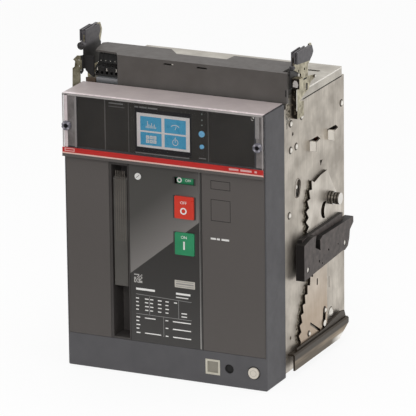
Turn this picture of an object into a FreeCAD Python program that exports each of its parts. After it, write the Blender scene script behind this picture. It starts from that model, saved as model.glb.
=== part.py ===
import FreeCAD, Part
import math
import os

from FreeCAD import Vector

# Withdrawable three-pole air circuit breaker in its sheet-steel cradle.
# X runs to the right, Y to the back and Z up, in millimetres. The origin is the
# centre of the four fixing slots in the underside of the cradle.

os.makedirs("parts", exist_ok=True)

# Cradle sheet metal
cradle_length = 198.0
cradle_half_width = 146.5
sheet = 2.5
side_plate_bottom = 7.0
top_plate_height = 387.5
top_lip_height = 12.9
side_plate_top = top_plate_height - top_lip_height
top_plate_back = 92.0
seam_gap = 0.4
tray_half_width = cradle_half_width - 16.5
tray_step_height = 14.5
tray_flange_height = 34.0
base_hole_spacing_x = 200.0
base_hole_spacing_y = 130.0
base_hole_radius = 4.5

# Toothed outer plates and foot rails
toothed_plate_thickness = 4.0
toothed_plate_bottom = 22.0
toothed_plate_top = 257.5
toothed_plate_front = -61.0
upper_teeth_centre = (40.0, 205.0)
upper_teeth_tip_radius = 78.3
upper_teeth_root_radius = 69.5
upper_teeth_start = 139.0
upper_teeth_pitch = 10.6
upper_teeth_count = 7
lower_teeth_centre = (58.3, 30.9)
lower_teeth_tip_radius = 123.8
lower_teeth_root_radius = 116.0
lower_teeth_start = 125.5
lower_teeth_pitch = 6.5
lower_teeth_count = 8
root_share = 0.7
foot_rail_reach = 6.5
foot_rail_bottom = 10.0
foot_rail_top = 33.0
foot_rail_leg_top = 37.0
foot_rail_leg_rear = 44.5
foot_rail_leg_front = -76.0
foot_rail_front = -92.0
foot_rail_back = 90.0
foot_rail_cut_start = 55.0
foot_rail_cut_height = 25.0
stub_shaft_radius = 9.2
stub_shaft_end_radius = 8.2
stub_shaft_length = 16.0
stub_shaft_y = 41.0
stub_shaft_z = 216.5
rivet_radius = 4.2
rivet_height = 2.6

# Poles, busbars and rear wall
pole_pitch = 90.0
upper_bar_drop = 105.5
upper_bar_z = top_plate_height - upper_bar_drop
lower_bar_z = 112.0
bar_width = 60.0
bar_thickness = 12.0
bar_front_y = 52.0
bar_reach = 44.0
terminal_hole_spacing = 30.0
terminal_hole_radius = 5.5
terminal_hole_from_end = 17.0
rear_wall_thickness = 14.0
barrier_depth = 14.0
barrier_thickness = 3.0

# Shutters
shutter_y = 42.0
shutter_sheet = 2.0
shutter_travel = 46.0
shutter_clearance = 1.5
shutter_play = 0.4
shutter_lead = 9.0
shutter_guide_bottom = 66.0
shutter_guide_top = top_plate_height - 23.5

# Telescopic rails
rail_centre_z = 48.0
rail_height = 20.2
rail_sheet = 2.0
guide_sheet = 1.5
roller_pin_radius = 3.0
channel_gap = 0.4
roller_clearance = 0.3
front_roller_y = -45.0
rear_roller_y = 12.0

# Terminal box on top of the cradle
box_height = 37.0
box_front_y = -97.0
box_depth = 56.0
box_notch_depth = 20.0
box_wall = 2.5
box_front_left = -cradle_half_width + 47.5
box_front_right = cradle_half_width + 3.0
box_roof_left_front = -cradle_half_width + 8.5
box_roof_left_rear = -cradle_half_width + 0.5
box_corner_round = 5.0
box_roof_right = cradle_half_width - 5.5
box_lip_drop = 4.5
box_notch_left = -28.0
box_notch_right = 46.0
box_notch_left_rear = -45.0
box_notch_right_rear = 48.0

# Breaker front
mask_overhang = 1.5
mask_half_width = cradle_half_width + mask_overhang
mask_bottom = 1.5
mask_top = 383.2
mask_front_y = -162.0
mask_depth = 60.0
mask_wall = 2.5
mask_front_wall = 3.0
mask_edge_round = 1.2
mask_rim = 1.7
panel_thickness = 2.0
panel_bottom = 47.5
panel_top = 299.5
panel_gap = 0.5
bezel_left = -mask_half_width + 20.0
bezel_right = mask_half_width - 16.0
bezel_bottom = 311.0
bezel_top = 381.5
cover_thickness = 2.0
cover_standoff = 4.0
cover_bottom = 297.5
cover_gap = 0.3
cover_roof_thickness = 1.5
cover_roof_back = -104.0
cover_half_width = mask_half_width - 0.5
strip_rise = 2.5
strip_height = 10.3
strip_thickness = 1.2

# Breaker body
breaker_plate_clearance = 11.0
breaker_plate_half_width = cradle_half_width - breaker_plate_clearance
breaker_plate_back = 20.0
breaker_plate_bottom = 28.0
breaker_plate_top = top_plate_height - 27.5
case_front_y = -62.0
case_split_y = -22.0
case_bottom = 40.0
case_top = top_plate_height - 35.5
case_wall = 4.0
jaw_reach = 60.0
jaw_half_width = 28.0
jaw_finger_thickness = 8.5
jaw_gap = 0.4

# Mechanism
shaft_y = -44.0
shaft_z = 170.0
shaft_radius = 8.0
crank_radius = 18.0
crank_rest_angle = 105.0
arm_pivot_y = -4.0
arm_pivot_z = 130.0
arm_rest_lean = 12.0
arm_pin_height = 45.0
arm_length = upper_bar_z - arm_pivot_z - 2.0
arm_thickness = 14.0
arm_axle_radius = 5.0
arm_half_width = 14.0
running_gap = 0.05
open_pivot_gap = 0.7

# Operating pieces on the front
lever_slot_left = -78.5
lever_slot_right = -54.7
lever_slot_bottom = 50.6
lever_slot_top = 292.0
lever_width = 20.3
lever_top = 274.7
lever_pivot_y = -146.0
lever_pivot_z = 129.0
lever_pin_radius = 3.0
button_width = 28.2
off_button_z = 244.0
on_button_z = 193.5
push_button_x = 29.1
push_button_height = 31.0
button_play = 0.4
state_window_z = 280.5
state_window_height = 9.3
window_x = 68.0
window_z = 26.0
window_half = 10.6
window_opening = 8.4
crank_x = 92.2
crank_z = 26.2
crank_hole_radius = 6.5
release_x = mask_half_width - 19.5
release_z = 25.5
release_radius = 7.8
unit_button_x = 56.2
home_button_z = 348.6
home_button_radius = 4.3
test_button_z = 331.2
test_button_radius = 3.1
latch_from_edge = 8.0
latch_x = mask_half_width - latch_from_edge
latch_z = 341.0

cradle_front = -cradle_length / 2
cradle_back = cradle_length / 2
inner_face = cradle_half_width - sheet
pole_places = [-pole_pitch, 0.0, pole_pitch]
mask_back_y = mask_front_y + mask_depth
panel_back_y = mask_front_y + panel_thickness
wall_back_y = mask_front_y + panel_thickness + mask_front_wall
cover_front_y = mask_front_y - cover_standoff - cover_thickness


def block(x0, x1, y0, y1, z0, z1):
    return Part.makeBox(x1 - x0, y1 - y0, z1 - z0, Vector(x0, y0, z0))


def rod(radius, start, direction, length):
    return Part.makeCylinder(radius, length, Vector(*start), Vector(*direction))


def rod_x(radius, x0, x1, y, z):
    return rod(radius, (x0, y, z), (1, 0, 0), x1 - x0)


def rod_y(radius, y0, y1, x, z):
    return rod(radius, (x, y0, z), (0, 1, 0), y1 - y0)


def rod_z(radius, z0, z1, x, y):
    return rod(radius, (x, y, z0), (0, 0, 1), z1 - z0)


def prism(corners, travel):
    """A face through the corners, pushed along the travel vector."""
    points = [Vector(*corner) for corner in corners]
    points.append(points[0])
    face = Part.Face(Part.makePolygon(points))
    return face.extrude(Vector(*travel))


def side_profile(points, x0, x1):
    """A (y, z) outline pushed from x0 to x1."""
    return prism([(x0, y, z) for y, z in points], (x1 - x0, 0, 0))


def front_profile(points, y0, y1):
    """An (x, z) outline pushed from y0 to y1."""
    return prism([(x, y0, z) for x, z in points], (0, y1 - y0, 0))


def plan_profile(points, z0, z1):
    """An (x, y) outline pushed from z0 to z1."""
    return prism([(x, y, z0) for x, y in points], (0, 0, z1 - z0))


def rounded(shape, radius, direction):
    """Fillet the straight edges that run along X, Y or Z."""
    edges = []
    for edge in shape.Edges:
        if edge.Curve.TypeId != "Part::GeomLine":
            continue
        if abs(edge.tangentAt(edge.FirstParameter).dot(Vector(*direction))) > 0.999:
            edges.append(edge)
    return shape.makeFillet(radius, edges)


def join(pieces):
    whole = pieces[0]
    if len(pieces) > 1:
        whole = whole.fuse(pieces[1:])
    return whole.removeSplitter()


def drill(shape, tools):
    return shape.cut(Part.makeCompound(tools))


def mirrored(shape):
    return shape.mirror(Vector(0, 0, 0), Vector(1, 0, 0))


def oblong_y(half_width, length, x, z, y0, y1):
    """A round-ended slot that stands upright in an XZ wall."""
    reach = length / 2 - half_width
    slot = block(x - half_width, x + half_width, y0, y1, z - reach, z + reach)
    ends = [rod_y(half_width, y0, y1, x, z - reach), rod_y(half_width, y0, y1, x, z + reach)]
    return join([slot] + ends)


def oblong_x(half_width, length, y, z, x0, x1, angle=0.0):
    """A round-ended slot through a YZ wall, turned about X from upright."""
    reach = length / 2 - half_width
    slot = block(x0, x1, y - half_width, y + half_width, z - reach, z + reach)
    ends = [rod_x(half_width, x0, x1, y, z - reach), rod_x(half_width, x0, x1, y, z + reach)]
    whole = join([slot] + ends)
    whole.rotate(Vector(0, y, z), Vector(1, 0, 0), angle)
    return whole


def dome_x(radius, height, x, y, z):
    """A domed rivet head on a face that looks along +X."""
    sphere_radius = (radius ** 2 + height ** 2) / (2 * height)
    mid_angle = math.asin(radius / sphere_radius) / 2
    centre = height - sphere_radius
    top = Vector(height, 0, 0)
    middle = Vector(centre + sphere_radius * math.cos(mid_angle), 0, sphere_radius * math.sin(mid_angle))
    rim = Vector(0, 0, radius)
    arc = Part.Arc(top, middle, rim).toShape()
    foot = Part.makeLine(rim, Vector(0, 0, 0))
    axis = Part.makeLine(Vector(0, 0, 0), top)
    face = Part.Face(Part.Wire([arc, foot, axis]))
    head = face.revolve(Vector(0, 0, 0), Vector(1, 0, 0), 360)
    head.translate(Vector(x, y, z))
    return head


def save(name, shape):
    if shape.ShapeType == "Compound" and len(shape.Solids) == 1:
        shape = shape.Solids[0]
    shape.exportStep("parts/" + name + ".step")


def save_pair(name, right_shape):
    save("right_" + name, right_shape)
    save("left_" + name, mirrored(right_shape))


# Cradle side plates: zinc-plated sheet with two tie ears, a lifting oblong and pin slots
ear_places = [-15.6, 45.0]
ear_low_z = 296.0
ear_high_z = 310.5
ear_reach = 9.0
ear_window_rise = 0.8
ear_window_length = 26.0
ear_window_hook = 9.0
oblong_place = (-54.3, 254.5)
oblong_half = 7.5
oblong_length = 25.0
oblong_angle = -14.0
wedge_hole = [(17.5, 274.5), (26.5, 273.5), (19.5, 266.0)]
slit_place = (47.0, 93.8)
slit_length = 16.0
slit_half = 0.8
boss_place = (52.6, 48.3)
boss_radius = 6.0
boss_groove = 1.4
small_hole_places = [(-71.5, 334.7), (-82.7, 52.6), (35.1, 103.1)]
small_hole_radius = 2.6


def boss_arc():
    """A curved slot over the front and top of the lower rear rivet."""
    y, z = boss_place
    inside = boss_radius + 1.0
    ring = rod_x(inside + boss_groove, inner_face - 1, cradle_half_width + 1, y, z)
    ring = ring.cut(rod_x(inside, inner_face - 1, cradle_half_width + 1, y, z))
    return ring.common(block(inner_face - 1, cradle_half_width + 1, y - inside - 2, y + 3, z, z + inside + 2))


def ear_window(y):
    """The window that an ear leaves behind it, with a hooked rear end."""
    top = ear_high_z + ear_window_rise
    rear = y + ear_window_length
    hook_low = ear_high_z - 7.0
    return side_profile([(y + sheet, ear_low_z), (rear, hook_low), (rear + ear_window_hook, hook_low + 1.2),
                         (rear, top - 0.8), (y - 2, top), (y - 2, ear_high_z - 1.5), (y + sheet, ear_high_z - 1.5)],
                        inner_face - 1, cradle_half_width + 1)


def side_plate():
    corner = 12.0
    outline = [
        (cradle_front, side_plate_bottom),
        (cradle_back - corner, side_plate_bottom),
        (cradle_back, side_plate_bottom + corner),
        (cradle_back, side_plate_top),
        (cradle_front, side_plate_top),
    ]
    plate = side_profile(outline, inner_face, cradle_half_width)
    tools = [ear_window(y) for y in ear_places]
    tools.append(oblong_x(oblong_half, oblong_length, oblong_place[0], oblong_place[1],
                          inner_face - 1, cradle_half_width + 1, oblong_angle))
    tools.append(side_profile(wedge_hole, inner_face - 1, cradle_half_width + 1))
    tools.append(oblong_x(slit_half, slit_length, slit_place[0], slit_place[1],
                          inner_face - 1, cradle_half_width + 1))
    tools.append(boss_arc())
    for y, z in small_hole_places:
        tools.append(rod_x(small_hole_radius, inner_face - 1, cradle_half_width + 1, y, z))
    tools.append(rod_x(stub_shaft_radius + running_gap, inner_face - 1, cradle_half_width + 1,
                       stub_shaft_y, stub_shaft_z))
    plate = drill(plate, tools)
    ears = [block(inner_face, cradle_half_width + ear_reach, y, y + sheet, ear_low_z, ear_high_z - 1.5)
            for y in ear_places]
    tips = [block(cradle_half_width + 0.5, cradle_half_width + ear_reach, y, y + sheet, ear_low_z, ear_high_z)
            for y in ear_places]
    return join([plate] + ears + tips)


save_pair("side_plate", side_plate())


# Base tray: one folded sheet, its floor standing proud below the side plates
def base_plate():
    side = inner_face
    step = tray_step_height
    right_half = [
        (tray_half_width, 0), (tray_half_width, step - sheet), (side, step - sheet),
        (side, tray_flange_height), (side - sheet, tray_flange_height), (side - sheet, step),
        (tray_half_width - sheet, step), (tray_half_width - sheet, sheet),
    ]
    left_half = [(-x, z) for x, z in reversed(right_half)]
    tray = front_profile(right_half + left_half, cradle_front + 4, cradle_back - 4)
    tools = []
    for x in (-base_hole_spacing_x / 2, base_hole_spacing_x / 2):
        for y in (-base_hole_spacing_y / 2, base_hole_spacing_y / 2):
            tools.append(rod_z(base_hole_radius, -1, sheet + 1, x, y))
    for x in (-45.0, 45.0):
        tools.append(block(x - 14, x + 14, -30, 30, -1, sheet + 1))
    return drill(tray, tools)


save("base_plate", base_plate())

# Top plate: folded sheet with a lip down each side and a joggle behind the side plates
lip_reach = 11.6
top_tab_bottom = top_plate_height - 31.5
top_plate_front = -91.5
top_slot_x = 120.5
top_slot_y = 57.0
top_slot_length = 19.0
top_slot_half = 3.0


def top_plate():
    lip_low = side_plate_top + seam_gap
    right_half = [(cradle_half_width, lip_low), (cradle_half_width, top_plate_height)]
    inner_half = [
        (inner_face - sheet, top_plate_height - sheet), (inner_face - sheet, top_tab_bottom),
        (inner_face, top_tab_bottom), (inner_face, lip_low),
    ]
    outer = right_half + [(-x, z) for x, z in reversed(right_half)]
    under = [(-x, z) for x, z in reversed(inner_half)] + inner_half
    sheet_body = front_profile(outer + under, top_plate_front, top_plate_back)
    reach = top_slot_length / 2 - top_slot_half
    tools = []
    for x in (-top_slot_x, top_slot_x):
        bar = block(x - reach, x + reach, top_slot_y - top_slot_half, top_slot_y + top_slot_half,
                    top_plate_height - 4, top_plate_height + 1)
        ends = [rod_z(top_slot_half, top_plate_height - 4, top_plate_height + 1, x - reach, top_slot_y),
                rod_z(top_slot_half, top_plate_height - 4, top_plate_height + 1, x + reach, top_slot_y)]
        tools.append(join([bar] + ends))
    return drill(sheet_body, tools)


save("top_plate", top_plate())

# Toothed outer plates: thick steel with scalloped locking teeth, a curved slot and pin slots
crescent_outer = (23.0, 204.0, 11.8)
crescent_inner = (37.0, 201.0, 14.8)
pin_slot_place = (20.5, 51.0)
pin_slot_half = 5.0
pin_slot_length = 32.0
pin_slot_angle = -8.0
slant_slot_place = (-9.4, 46.3)
slant_slot_half = 2.0
slant_slot_length = 40.0
slant_slot_angle = 59.3
key_slot_place = (-2.1, 108.8)
key_slot_half = 1.8
key_slot_length = 10.0
toothed_inner = cradle_half_width
toothed_outer = cradle_half_width + toothed_plate_thickness


def curved_slot():
    """A crescent: one disc less another that overlaps its rear."""
    start = toothed_inner - 1
    end = toothed_outer + 1
    y, z, radius = crescent_outer
    inner_y, inner_z, inner_radius = crescent_inner
    return rod_x(radius, start, end, y, z).cut(rod_x(inner_radius, start - 1, end + 1, inner_y, inner_z))


def sawtooth(centre, tip_radius, root_radius, start, pitch, count):
    """Tips and roots down an arc: each tooth runs back slowly and then steps out again."""
    points = []
    for index in range(count):
        tip = math.radians(start + index * pitch)
        root = math.radians(start + (index + root_share) * pitch)
        points.append((centre[0] + tip_radius * math.cos(tip), centre[1] + tip_radius * math.sin(tip)))
        points.append((centre[0] + root_radius * math.cos(root), centre[1] + root_radius * math.sin(root)))
    return points


def toothed_plate():
    """Two toothed sectors in one plate, with a strip behind the foot rail."""
    lower_back = 31.0
    strip_top = 40.0
    outline = sawtooth(upper_teeth_centre, upper_teeth_tip_radius, upper_teeth_root_radius, upper_teeth_start,
                       upper_teeth_pitch, upper_teeth_count)
    outline += sawtooth(lower_teeth_centre, lower_teeth_tip_radius, lower_teeth_root_radius, lower_teeth_start,
                        lower_teeth_pitch, lower_teeth_count)
    outline += [(toothed_plate_front, toothed_plate_bottom), (foot_rail_back - 4, toothed_plate_bottom),
                (foot_rail_back - 4, strip_top), (lower_back, strip_top), (lower_back, 145.0), (60.0, 150.0),
                (80.0, 172.0), (80.0, 197.0), (33.0, toothed_plate_top), (10.0, toothed_plate_top - 1.5),
                (-9.8, toothed_plate_top - 6)]
    plate = side_profile(outline, toothed_inner, toothed_outer)
    tools = [curved_slot()]
    tools.append(rod_x(stub_shaft_radius + running_gap, toothed_inner - 1, toothed_outer + 1,
                       stub_shaft_y, stub_shaft_z))
    tools.append(oblong_x(pin_slot_half, pin_slot_length, pin_slot_place[0], pin_slot_place[1],
                          toothed_inner - 1, toothed_outer + 1, pin_slot_angle))
    tools.append(oblong_x(slant_slot_half, slant_slot_length, slant_slot_place[0], slant_slot_place[1],
                          toothed_inner - 1, toothed_outer + 1, slant_slot_angle))
    tools.append(oblong_x(key_slot_half, key_slot_length, key_slot_place[0], key_slot_place[1],
                          toothed_inner - 1, toothed_outer + 1))
    return drill(plate, tools)


right_toothed_plate = toothed_plate()
save("toothed_plates", Part.makeCompound([right_toothed_plate, mirrored(right_toothed_plate)]))


# Foot rails: folded channels along the bottom edge, open underneath and at the ends
def foot_rail():
    outer = toothed_outer + foot_rail_reach
    outline = [
        (toothed_outer, foot_rail_top - sheet), (outer - sheet, foot_rail_top - sheet),
        (outer - sheet, foot_rail_bottom), (outer, foot_rail_bottom), (outer, foot_rail_top - 2),
        (outer - 2, foot_rail_top), (toothed_outer, foot_rail_top),
    ]
    channel_part = front_profile(outline, foot_rail_front, foot_rail_back)
    cut_outline = [(foot_rail_cut_start, foot_rail_bottom - 1), (foot_rail_back + 1, foot_rail_bottom - 1),
                   (foot_rail_back + 1, foot_rail_cut_height)]
    rear_cut = side_profile(cut_outline, outer - sheet - 1, outer + 1)
    leg = side_profile([(foot_rail_leg_front, foot_rail_top - sheet), (foot_rail_back, foot_rail_top - sheet),
                        (foot_rail_back - 6, foot_rail_leg_rear - 1.5), (foot_rail_back - 18, foot_rail_leg_rear),
                        (11.0, foot_rail_leg_top), (foot_rail_leg_front, foot_rail_leg_top)],
                       toothed_outer, toothed_outer + sheet)
    front_ledge = block(cradle_half_width, toothed_outer, foot_rail_front, toothed_plate_front - seam_gap,
                        foot_rail_top - sheet, foot_rail_top)
    return join([channel_part.cut(rear_cut), leg, front_ledge])


right_foot_rail = foot_rail()
save("foot_rails", Part.makeCompound([right_foot_rail, mirrored(right_foot_rail)]))

# Rivets and pins on the outside of the cradle
top_rivet_drops = [(-42.8, 35.5), (-78.2, 36.8), (-61.0, 72.7), (-79.0, 73.3), (90.0, 51.2)]
middle_rivet = (-84.5, 224.9)
slot_rivet = (22.9, 61.2, 3.6)
slot_pin = (18.9, 43.9, 4.3)
toothed_rivet = (-31.2, 43.7)
eyelet_place = (35.1, 103.1)
eyelet_radius = 3.8


def cradle_rivets():
    plate_rivets = [(y, top_plate_height - drop) for y, drop in top_rivet_drops] + [middle_rivet]
    heads = [dome_x(rivet_radius, rivet_height, cradle_half_width, y, z) for y, z in plate_rivets]
    heads.append(dome_x(boss_radius, rivet_height, cradle_half_width, boss_place[0], boss_place[1]))
    heads.append(dome_x(3.4, rivet_height, toothed_outer, toothed_rivet[0], toothed_rivet[1]))
    y, z, radius = slot_rivet
    heads.append(join([rod_x(radius, cradle_half_width, toothed_outer, y, z),
                       dome_x(radius, rivet_height, toothed_outer, y, z)]))
    y, z, radius = slot_pin
    heads.append(rod_x(radius, cradle_half_width, toothed_outer + 2.0, y, z))
    y, z = eyelet_place
    eyelet = rod_x(eyelet_radius, cradle_half_width, cradle_half_width + 0.8, y, z)
    heads.append(eyelet.cut(rod_x(small_hole_radius - 0.8, cradle_half_width - 1, cradle_half_width + 2, y, z)))
    return heads + [mirrored(head) for head in heads]


save("cradle_rivets", Part.makeCompound(cradle_rivets()))


# Stub shafts for a mechanical interlock, grooved for a clip
def stub_shaft():
    groove_x = toothed_outer + 7.0
    shaft = join([rod_x(stub_shaft_radius, inner_face, groove_x + 1.6, stub_shaft_y, stub_shaft_z),
                  rod_x(stub_shaft_end_radius, groove_x + 1.5, toothed_outer + stub_shaft_length, stub_shaft_y,
                        stub_shaft_z)])
    groove = rod_x(stub_shaft_radius + 1, groove_x, groove_x + 1.6, stub_shaft_y, stub_shaft_z)
    groove = groove.cut(rod_x(stub_shaft_radius - 1.2, groove_x, groove_x + 1.6, stub_shaft_y, stub_shaft_z))
    return shaft.cut(groove)


right_stub = stub_shaft()
save("stub_shafts", Part.makeCompound([right_stub, mirrored(right_stub)]))

# Rear insulating wall with a pocket for each busbar and barriers between the poles
wall_front_y = cradle_back - rear_wall_thickness
wall_play = 0.3
wall_low = tray_step_height + wall_play
wall_high = top_plate_height - sheet - wall_play
wall_half_width = inner_face - sheet - wall_play


def rear_wall():
    wall = block(-wall_half_width, wall_half_width, wall_front_y, cradle_back, wall_low, wall_high)
    pieces = [wall]
    for x in (-pole_pitch / 2, pole_pitch / 2):
        pieces.append(block(x - barrier_thickness / 2, x + barrier_thickness / 2,
                            cradle_back, cradle_back + barrier_depth, 60.0, 340.0))
    for x in pole_places:
        for z in (upper_bar_z, lower_bar_z):
            pieces.append(block(x - bar_width / 2 - 5, x + bar_width / 2 + 5, cradle_back, cradle_back + 6,
                                z - bar_thickness / 2 - 6, z + bar_thickness / 2 + 6))
    body = join(pieces)
    tools = []
    for x in pole_places:
        for z in (upper_bar_z, lower_bar_z):
            tools.append(block(x - bar_width / 2, x + bar_width / 2, wall_front_y - 1, cradle_back + 7,
                               z - bar_thickness / 2, z + bar_thickness / 2))
    return drill(body, tools)


save("rear_wall", rear_wall())


# Busbars: copper blades inside, drilled terminals outside
def busbar(x, z):
    back = cradle_back + bar_reach
    bar = block(x - bar_width / 2, x + bar_width / 2, bar_front_y, back,
                z - bar_thickness / 2, z + bar_thickness / 2)
    nose = []
    for edge in bar.Edges:
        middle = edge.BoundBox.Center
        if abs(middle.y - bar_front_y) < 0.01 and edge.BoundBox.XLength > bar_width - 1:
            nose.append(edge)
    bar = bar.makeChamfer(2.0, nose)
    holes = []
    for offset in (-terminal_hole_spacing / 2, terminal_hole_spacing / 2):
        holes.append(rod_z(terminal_hole_radius, z - bar_thickness, z + bar_thickness,
                           x + offset, back - terminal_hole_from_end))
    return drill(bar, holes)


save("upper_terminals", Part.makeCompound([busbar(x, upper_bar_z) for x in pole_places]))
save("lower_terminals", Part.makeCompound([busbar(x, lower_bar_z) for x in pole_places]))

# Shutters: insulating sheets with a window per pole, running in upright guides
jaw_half_height = bar_thickness / 2 + jaw_gap + jaw_finger_thickness
shutter_window_half_width = jaw_half_width + 6.0
shutter_ear_half_width = inner_face - sheet - 0.6
shutter_half_width = cradle_half_width - 13.5


def shutter(bar_z, opening_up, bottom, top, ear_places):
    """opening_up is 1 where the sheet drops to close, and -1 where it rises."""
    plate = block(-shutter_half_width, shutter_half_width, shutter_y, shutter_y + shutter_sheet, bottom, top)
    pieces = [plate]
    for z in ear_places:
        pieces.append(block(-shutter_ear_half_width, shutter_ear_half_width,
                            shutter_y, shutter_y + shutter_sheet, z - 8, z + 8))
    windows = []
    near = bar_z - opening_up * (jaw_half_height + shutter_clearance)
    far = bar_z + opening_up * (jaw_half_height + shutter_lead)
    for x in pole_places:
        windows.append(block(x - shutter_window_half_width, x + shutter_window_half_width,
                             shutter_y - 1, shutter_y + shutter_sheet + 1, min(near, far), max(near, far)))
    return drill(join(pieces), windows)


shutter_band = shutter_travel + 3.0
upper_shutter_top = upper_bar_z + jaw_half_height + shutter_lead + shutter_band
upper_shutter_bottom = upper_bar_z - jaw_half_height - shutter_clearance - 11.0
lower_shutter_bottom = lower_bar_z - jaw_half_height - shutter_lead - shutter_band
lower_shutter_top = lower_bar_z + jaw_half_height + shutter_clearance + 11.0
save("upper_shutter", shutter(upper_bar_z, 1, upper_shutter_bottom, upper_shutter_top,
                              [upper_shutter_bottom + 9, upper_shutter_top - 9]))
save("lower_shutter", shutter(lower_bar_z, -1, lower_shutter_bottom, lower_shutter_top,
                              [shutter_guide_bottom + 9, lower_shutter_top - 9]))


def shutter_guide():
    back = shutter_y + shutter_sheet + shutter_play + guide_sheet
    front = shutter_y - shutter_play - guide_sheet
    inner = inner_face - 8.0
    outline = [(inner, front), (inner_face, front), (inner_face, back), (inner, back),
               (inner, back - guide_sheet), (inner_face - 1.8, back - guide_sheet),
               (inner_face - 1.8, front + guide_sheet), (inner, front + guide_sheet)]
    return plan_profile(outline, shutter_guide_bottom, min(shutter_guide_top, top_tab_bottom - 0.5))


right_guide = shutter_guide()
save("shutter_guides", Part.makeCompound([right_guide, mirrored(right_guide)]))

# Telescopic rails: a fixed channel on each side plate and a sliding channel inside it
rail_outer = inner_face - guide_sheet - channel_gap
rail_inner = breaker_plate_half_width + 0.8
rail_low = rail_centre_z - rail_height / 2
rail_high = rail_centre_z + rail_height / 2
roller_radius = rail_height / 2 - rail_sheet - roller_clearance


def channel(inner_x, outer_x, low, high, thickness, y0, y1):
    outline = [(inner_x, low), (outer_x, low), (outer_x, high), (inner_x, high),
               (inner_x, high - thickness), (outer_x - thickness, high - thickness),
               (outer_x - thickness, low + thickness), (inner_x, low + thickness)]
    return front_profile(outline, y0, y1)


def fixed_channel():
    return channel(rail_inner, inner_face, rail_low - channel_gap - guide_sheet,
                   rail_high + channel_gap + guide_sheet, guide_sheet, cradle_front + 1, wall_front_y - 1)


right_channel = fixed_channel()
save("guide_channels", Part.makeCompound([right_channel, mirrored(right_channel)]))


def slide_rail():
    rail = channel(rail_inner, rail_outer, rail_low, rail_high, rail_sheet, cradle_front + 2, wall_front_y - 2)
    hole = rod_x(4.0, rail_inner, rail_outer + 1, cradle_front + 14, rail_centre_z)
    return rail.cut(hole)


save_pair("slide_rail", slide_rail())


# Terminal box: moulded cover over the auxiliary terminals, open at its left front
def terminal_box():
    low = top_plate_height
    high = top_plate_height + box_height
    back = box_front_y + box_depth
    front_panel = block(box_front_left, box_front_right, box_front_y, box_front_y + box_wall, low - box_lip_drop,
                        high)
    notch_back = back - box_notch_depth
    roof_outline = [
        (box_front_left, box_front_y), (box_front_right, box_front_y),
        (box_front_right, box_front_y + 6.0), (box_roof_right, box_front_y + 6.0), (box_roof_right, back),
        (box_notch_right_rear, back), (box_notch_right, notch_back), (box_notch_left, notch_back),
        (box_notch_left_rear, back),
        (box_roof_left_rear + box_corner_round, back), (box_roof_left_rear, back - box_corner_round),
        (box_roof_left_front, box_front_y + 14.0), (box_front_left - 6, box_front_y + 10.0),
    ]
    roof = plan_profile(roof_outline, high - box_wall, high)
    right_cheek = block(box_roof_right - box_wall, box_roof_right, box_front_y, back, low, high)
    left_cheek = block(box_front_left, box_front_left + box_wall, box_front_y, back, low, high)
    right_back = block(box_notch_right_rear, box_roof_right, back - box_wall, back, low, high)
    middle_back = block(box_notch_left, box_notch_right, notch_back - box_wall, notch_back, low, high)
    left_back = block(box_roof_left_rear + box_corner_round, box_notch_left_rear, back - box_wall, back, low, high)
    end_return = block(box_front_right - box_wall, box_front_right, box_front_y, box_front_y + 5.5,
                       low - box_lip_drop, high)
    body = join([front_panel, roof, right_cheek, left_cheek, right_back, middle_back, left_back, end_return])
    slots = []
    for x in (-23.0, 26.0):
        slots.append(block(x - 7.3, x + 7.3, box_front_y - 1, box_front_y + box_wall + 1, high - 6.5, high - 4.3))
    return drill(body, slots)


save("terminal_box", terminal_box())

# Auxiliary terminal blocks in the open end, on their aluminium rail
terminal_count = 5
terminal_width = 6.8
terminal_first_x = -cradle_half_width + 10.5
terminal_rail_left = -cradle_half_width + 15.5


def terminal_blocks():
    low = top_plate_height + 3.0
    blocks = []
    for index in range(terminal_count):
        x = terminal_first_x + index * (terminal_width + 0.3)
        outline = [(-90.0, low), (-52.0, low), (-52.0, low + 22), (-62.0, low + 28), (-76.0, low + 28),
                   (-80.0, low + 16), (-90.0, low + 12)]
        body = side_profile(outline, x, x + terminal_width)
        screw = rod_z(1.9, low + 6, low + 14, x + terminal_width / 2, -85.0)
        entry = block(x + 1.4, x + terminal_width - 1.4, -91.0, -84.0, low + 3, low + 7)
        blocks.append(drill(body, [screw, entry]))
    return Part.makeCompound(blocks)


def terminal_rail():
    low = top_plate_height
    outline = [(-97.0, low - 4.0), (-94.5, low - 4.0), (-94.5, low), (-50.0, low), (-50.0, low + 3.0),
               (-97.0, low + 3.0)]
    return side_profile(outline, terminal_rail_left, box_front_left - 0.3)


save("terminal_blocks", terminal_blocks())
save("terminal_rail", terminal_rail())

# Clip brackets: folded zinc plates on the top corners that carry the wiring clips
bracket_sheet = 2.0
bracket_reach = 8.5
bracket_foot_low = -30.5
bracket_front_y = -75.0
bracket_tab_y = -96.0
bracket_hole = (-44.0, 6.5)
bracket_hole_half = 2.8
bracket_hole_length = 11.0
left_riser_pull = 9.0
bracket_foot_rear = -54.0
upright_holes = [(-70.0, 34.5), (-51.0, 32.5)]
upright_hole_radius = 2.0
upright_top = 56.5
tab_box_low = 14.5
tab_box_high = 28.5
tab_box_depth = 13.0
clip_gap = 0.3
clip_leaf = 1.7
clip_outer_reach = 5.4
clip_top = 64.5
clip_front = -86.0
connector_radius = 5.4
pin_plug_radius = 2.0
connector_rise = 42.5
web_outer = cradle_half_width + bracket_reach
web_inner = web_outer - bracket_sheet


def above_top(points):
    """(y, rise) points measured from the top of the cradle, as (y, z)."""
    return [(y, top_plate_height + rise) for y, rise in points]


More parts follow.
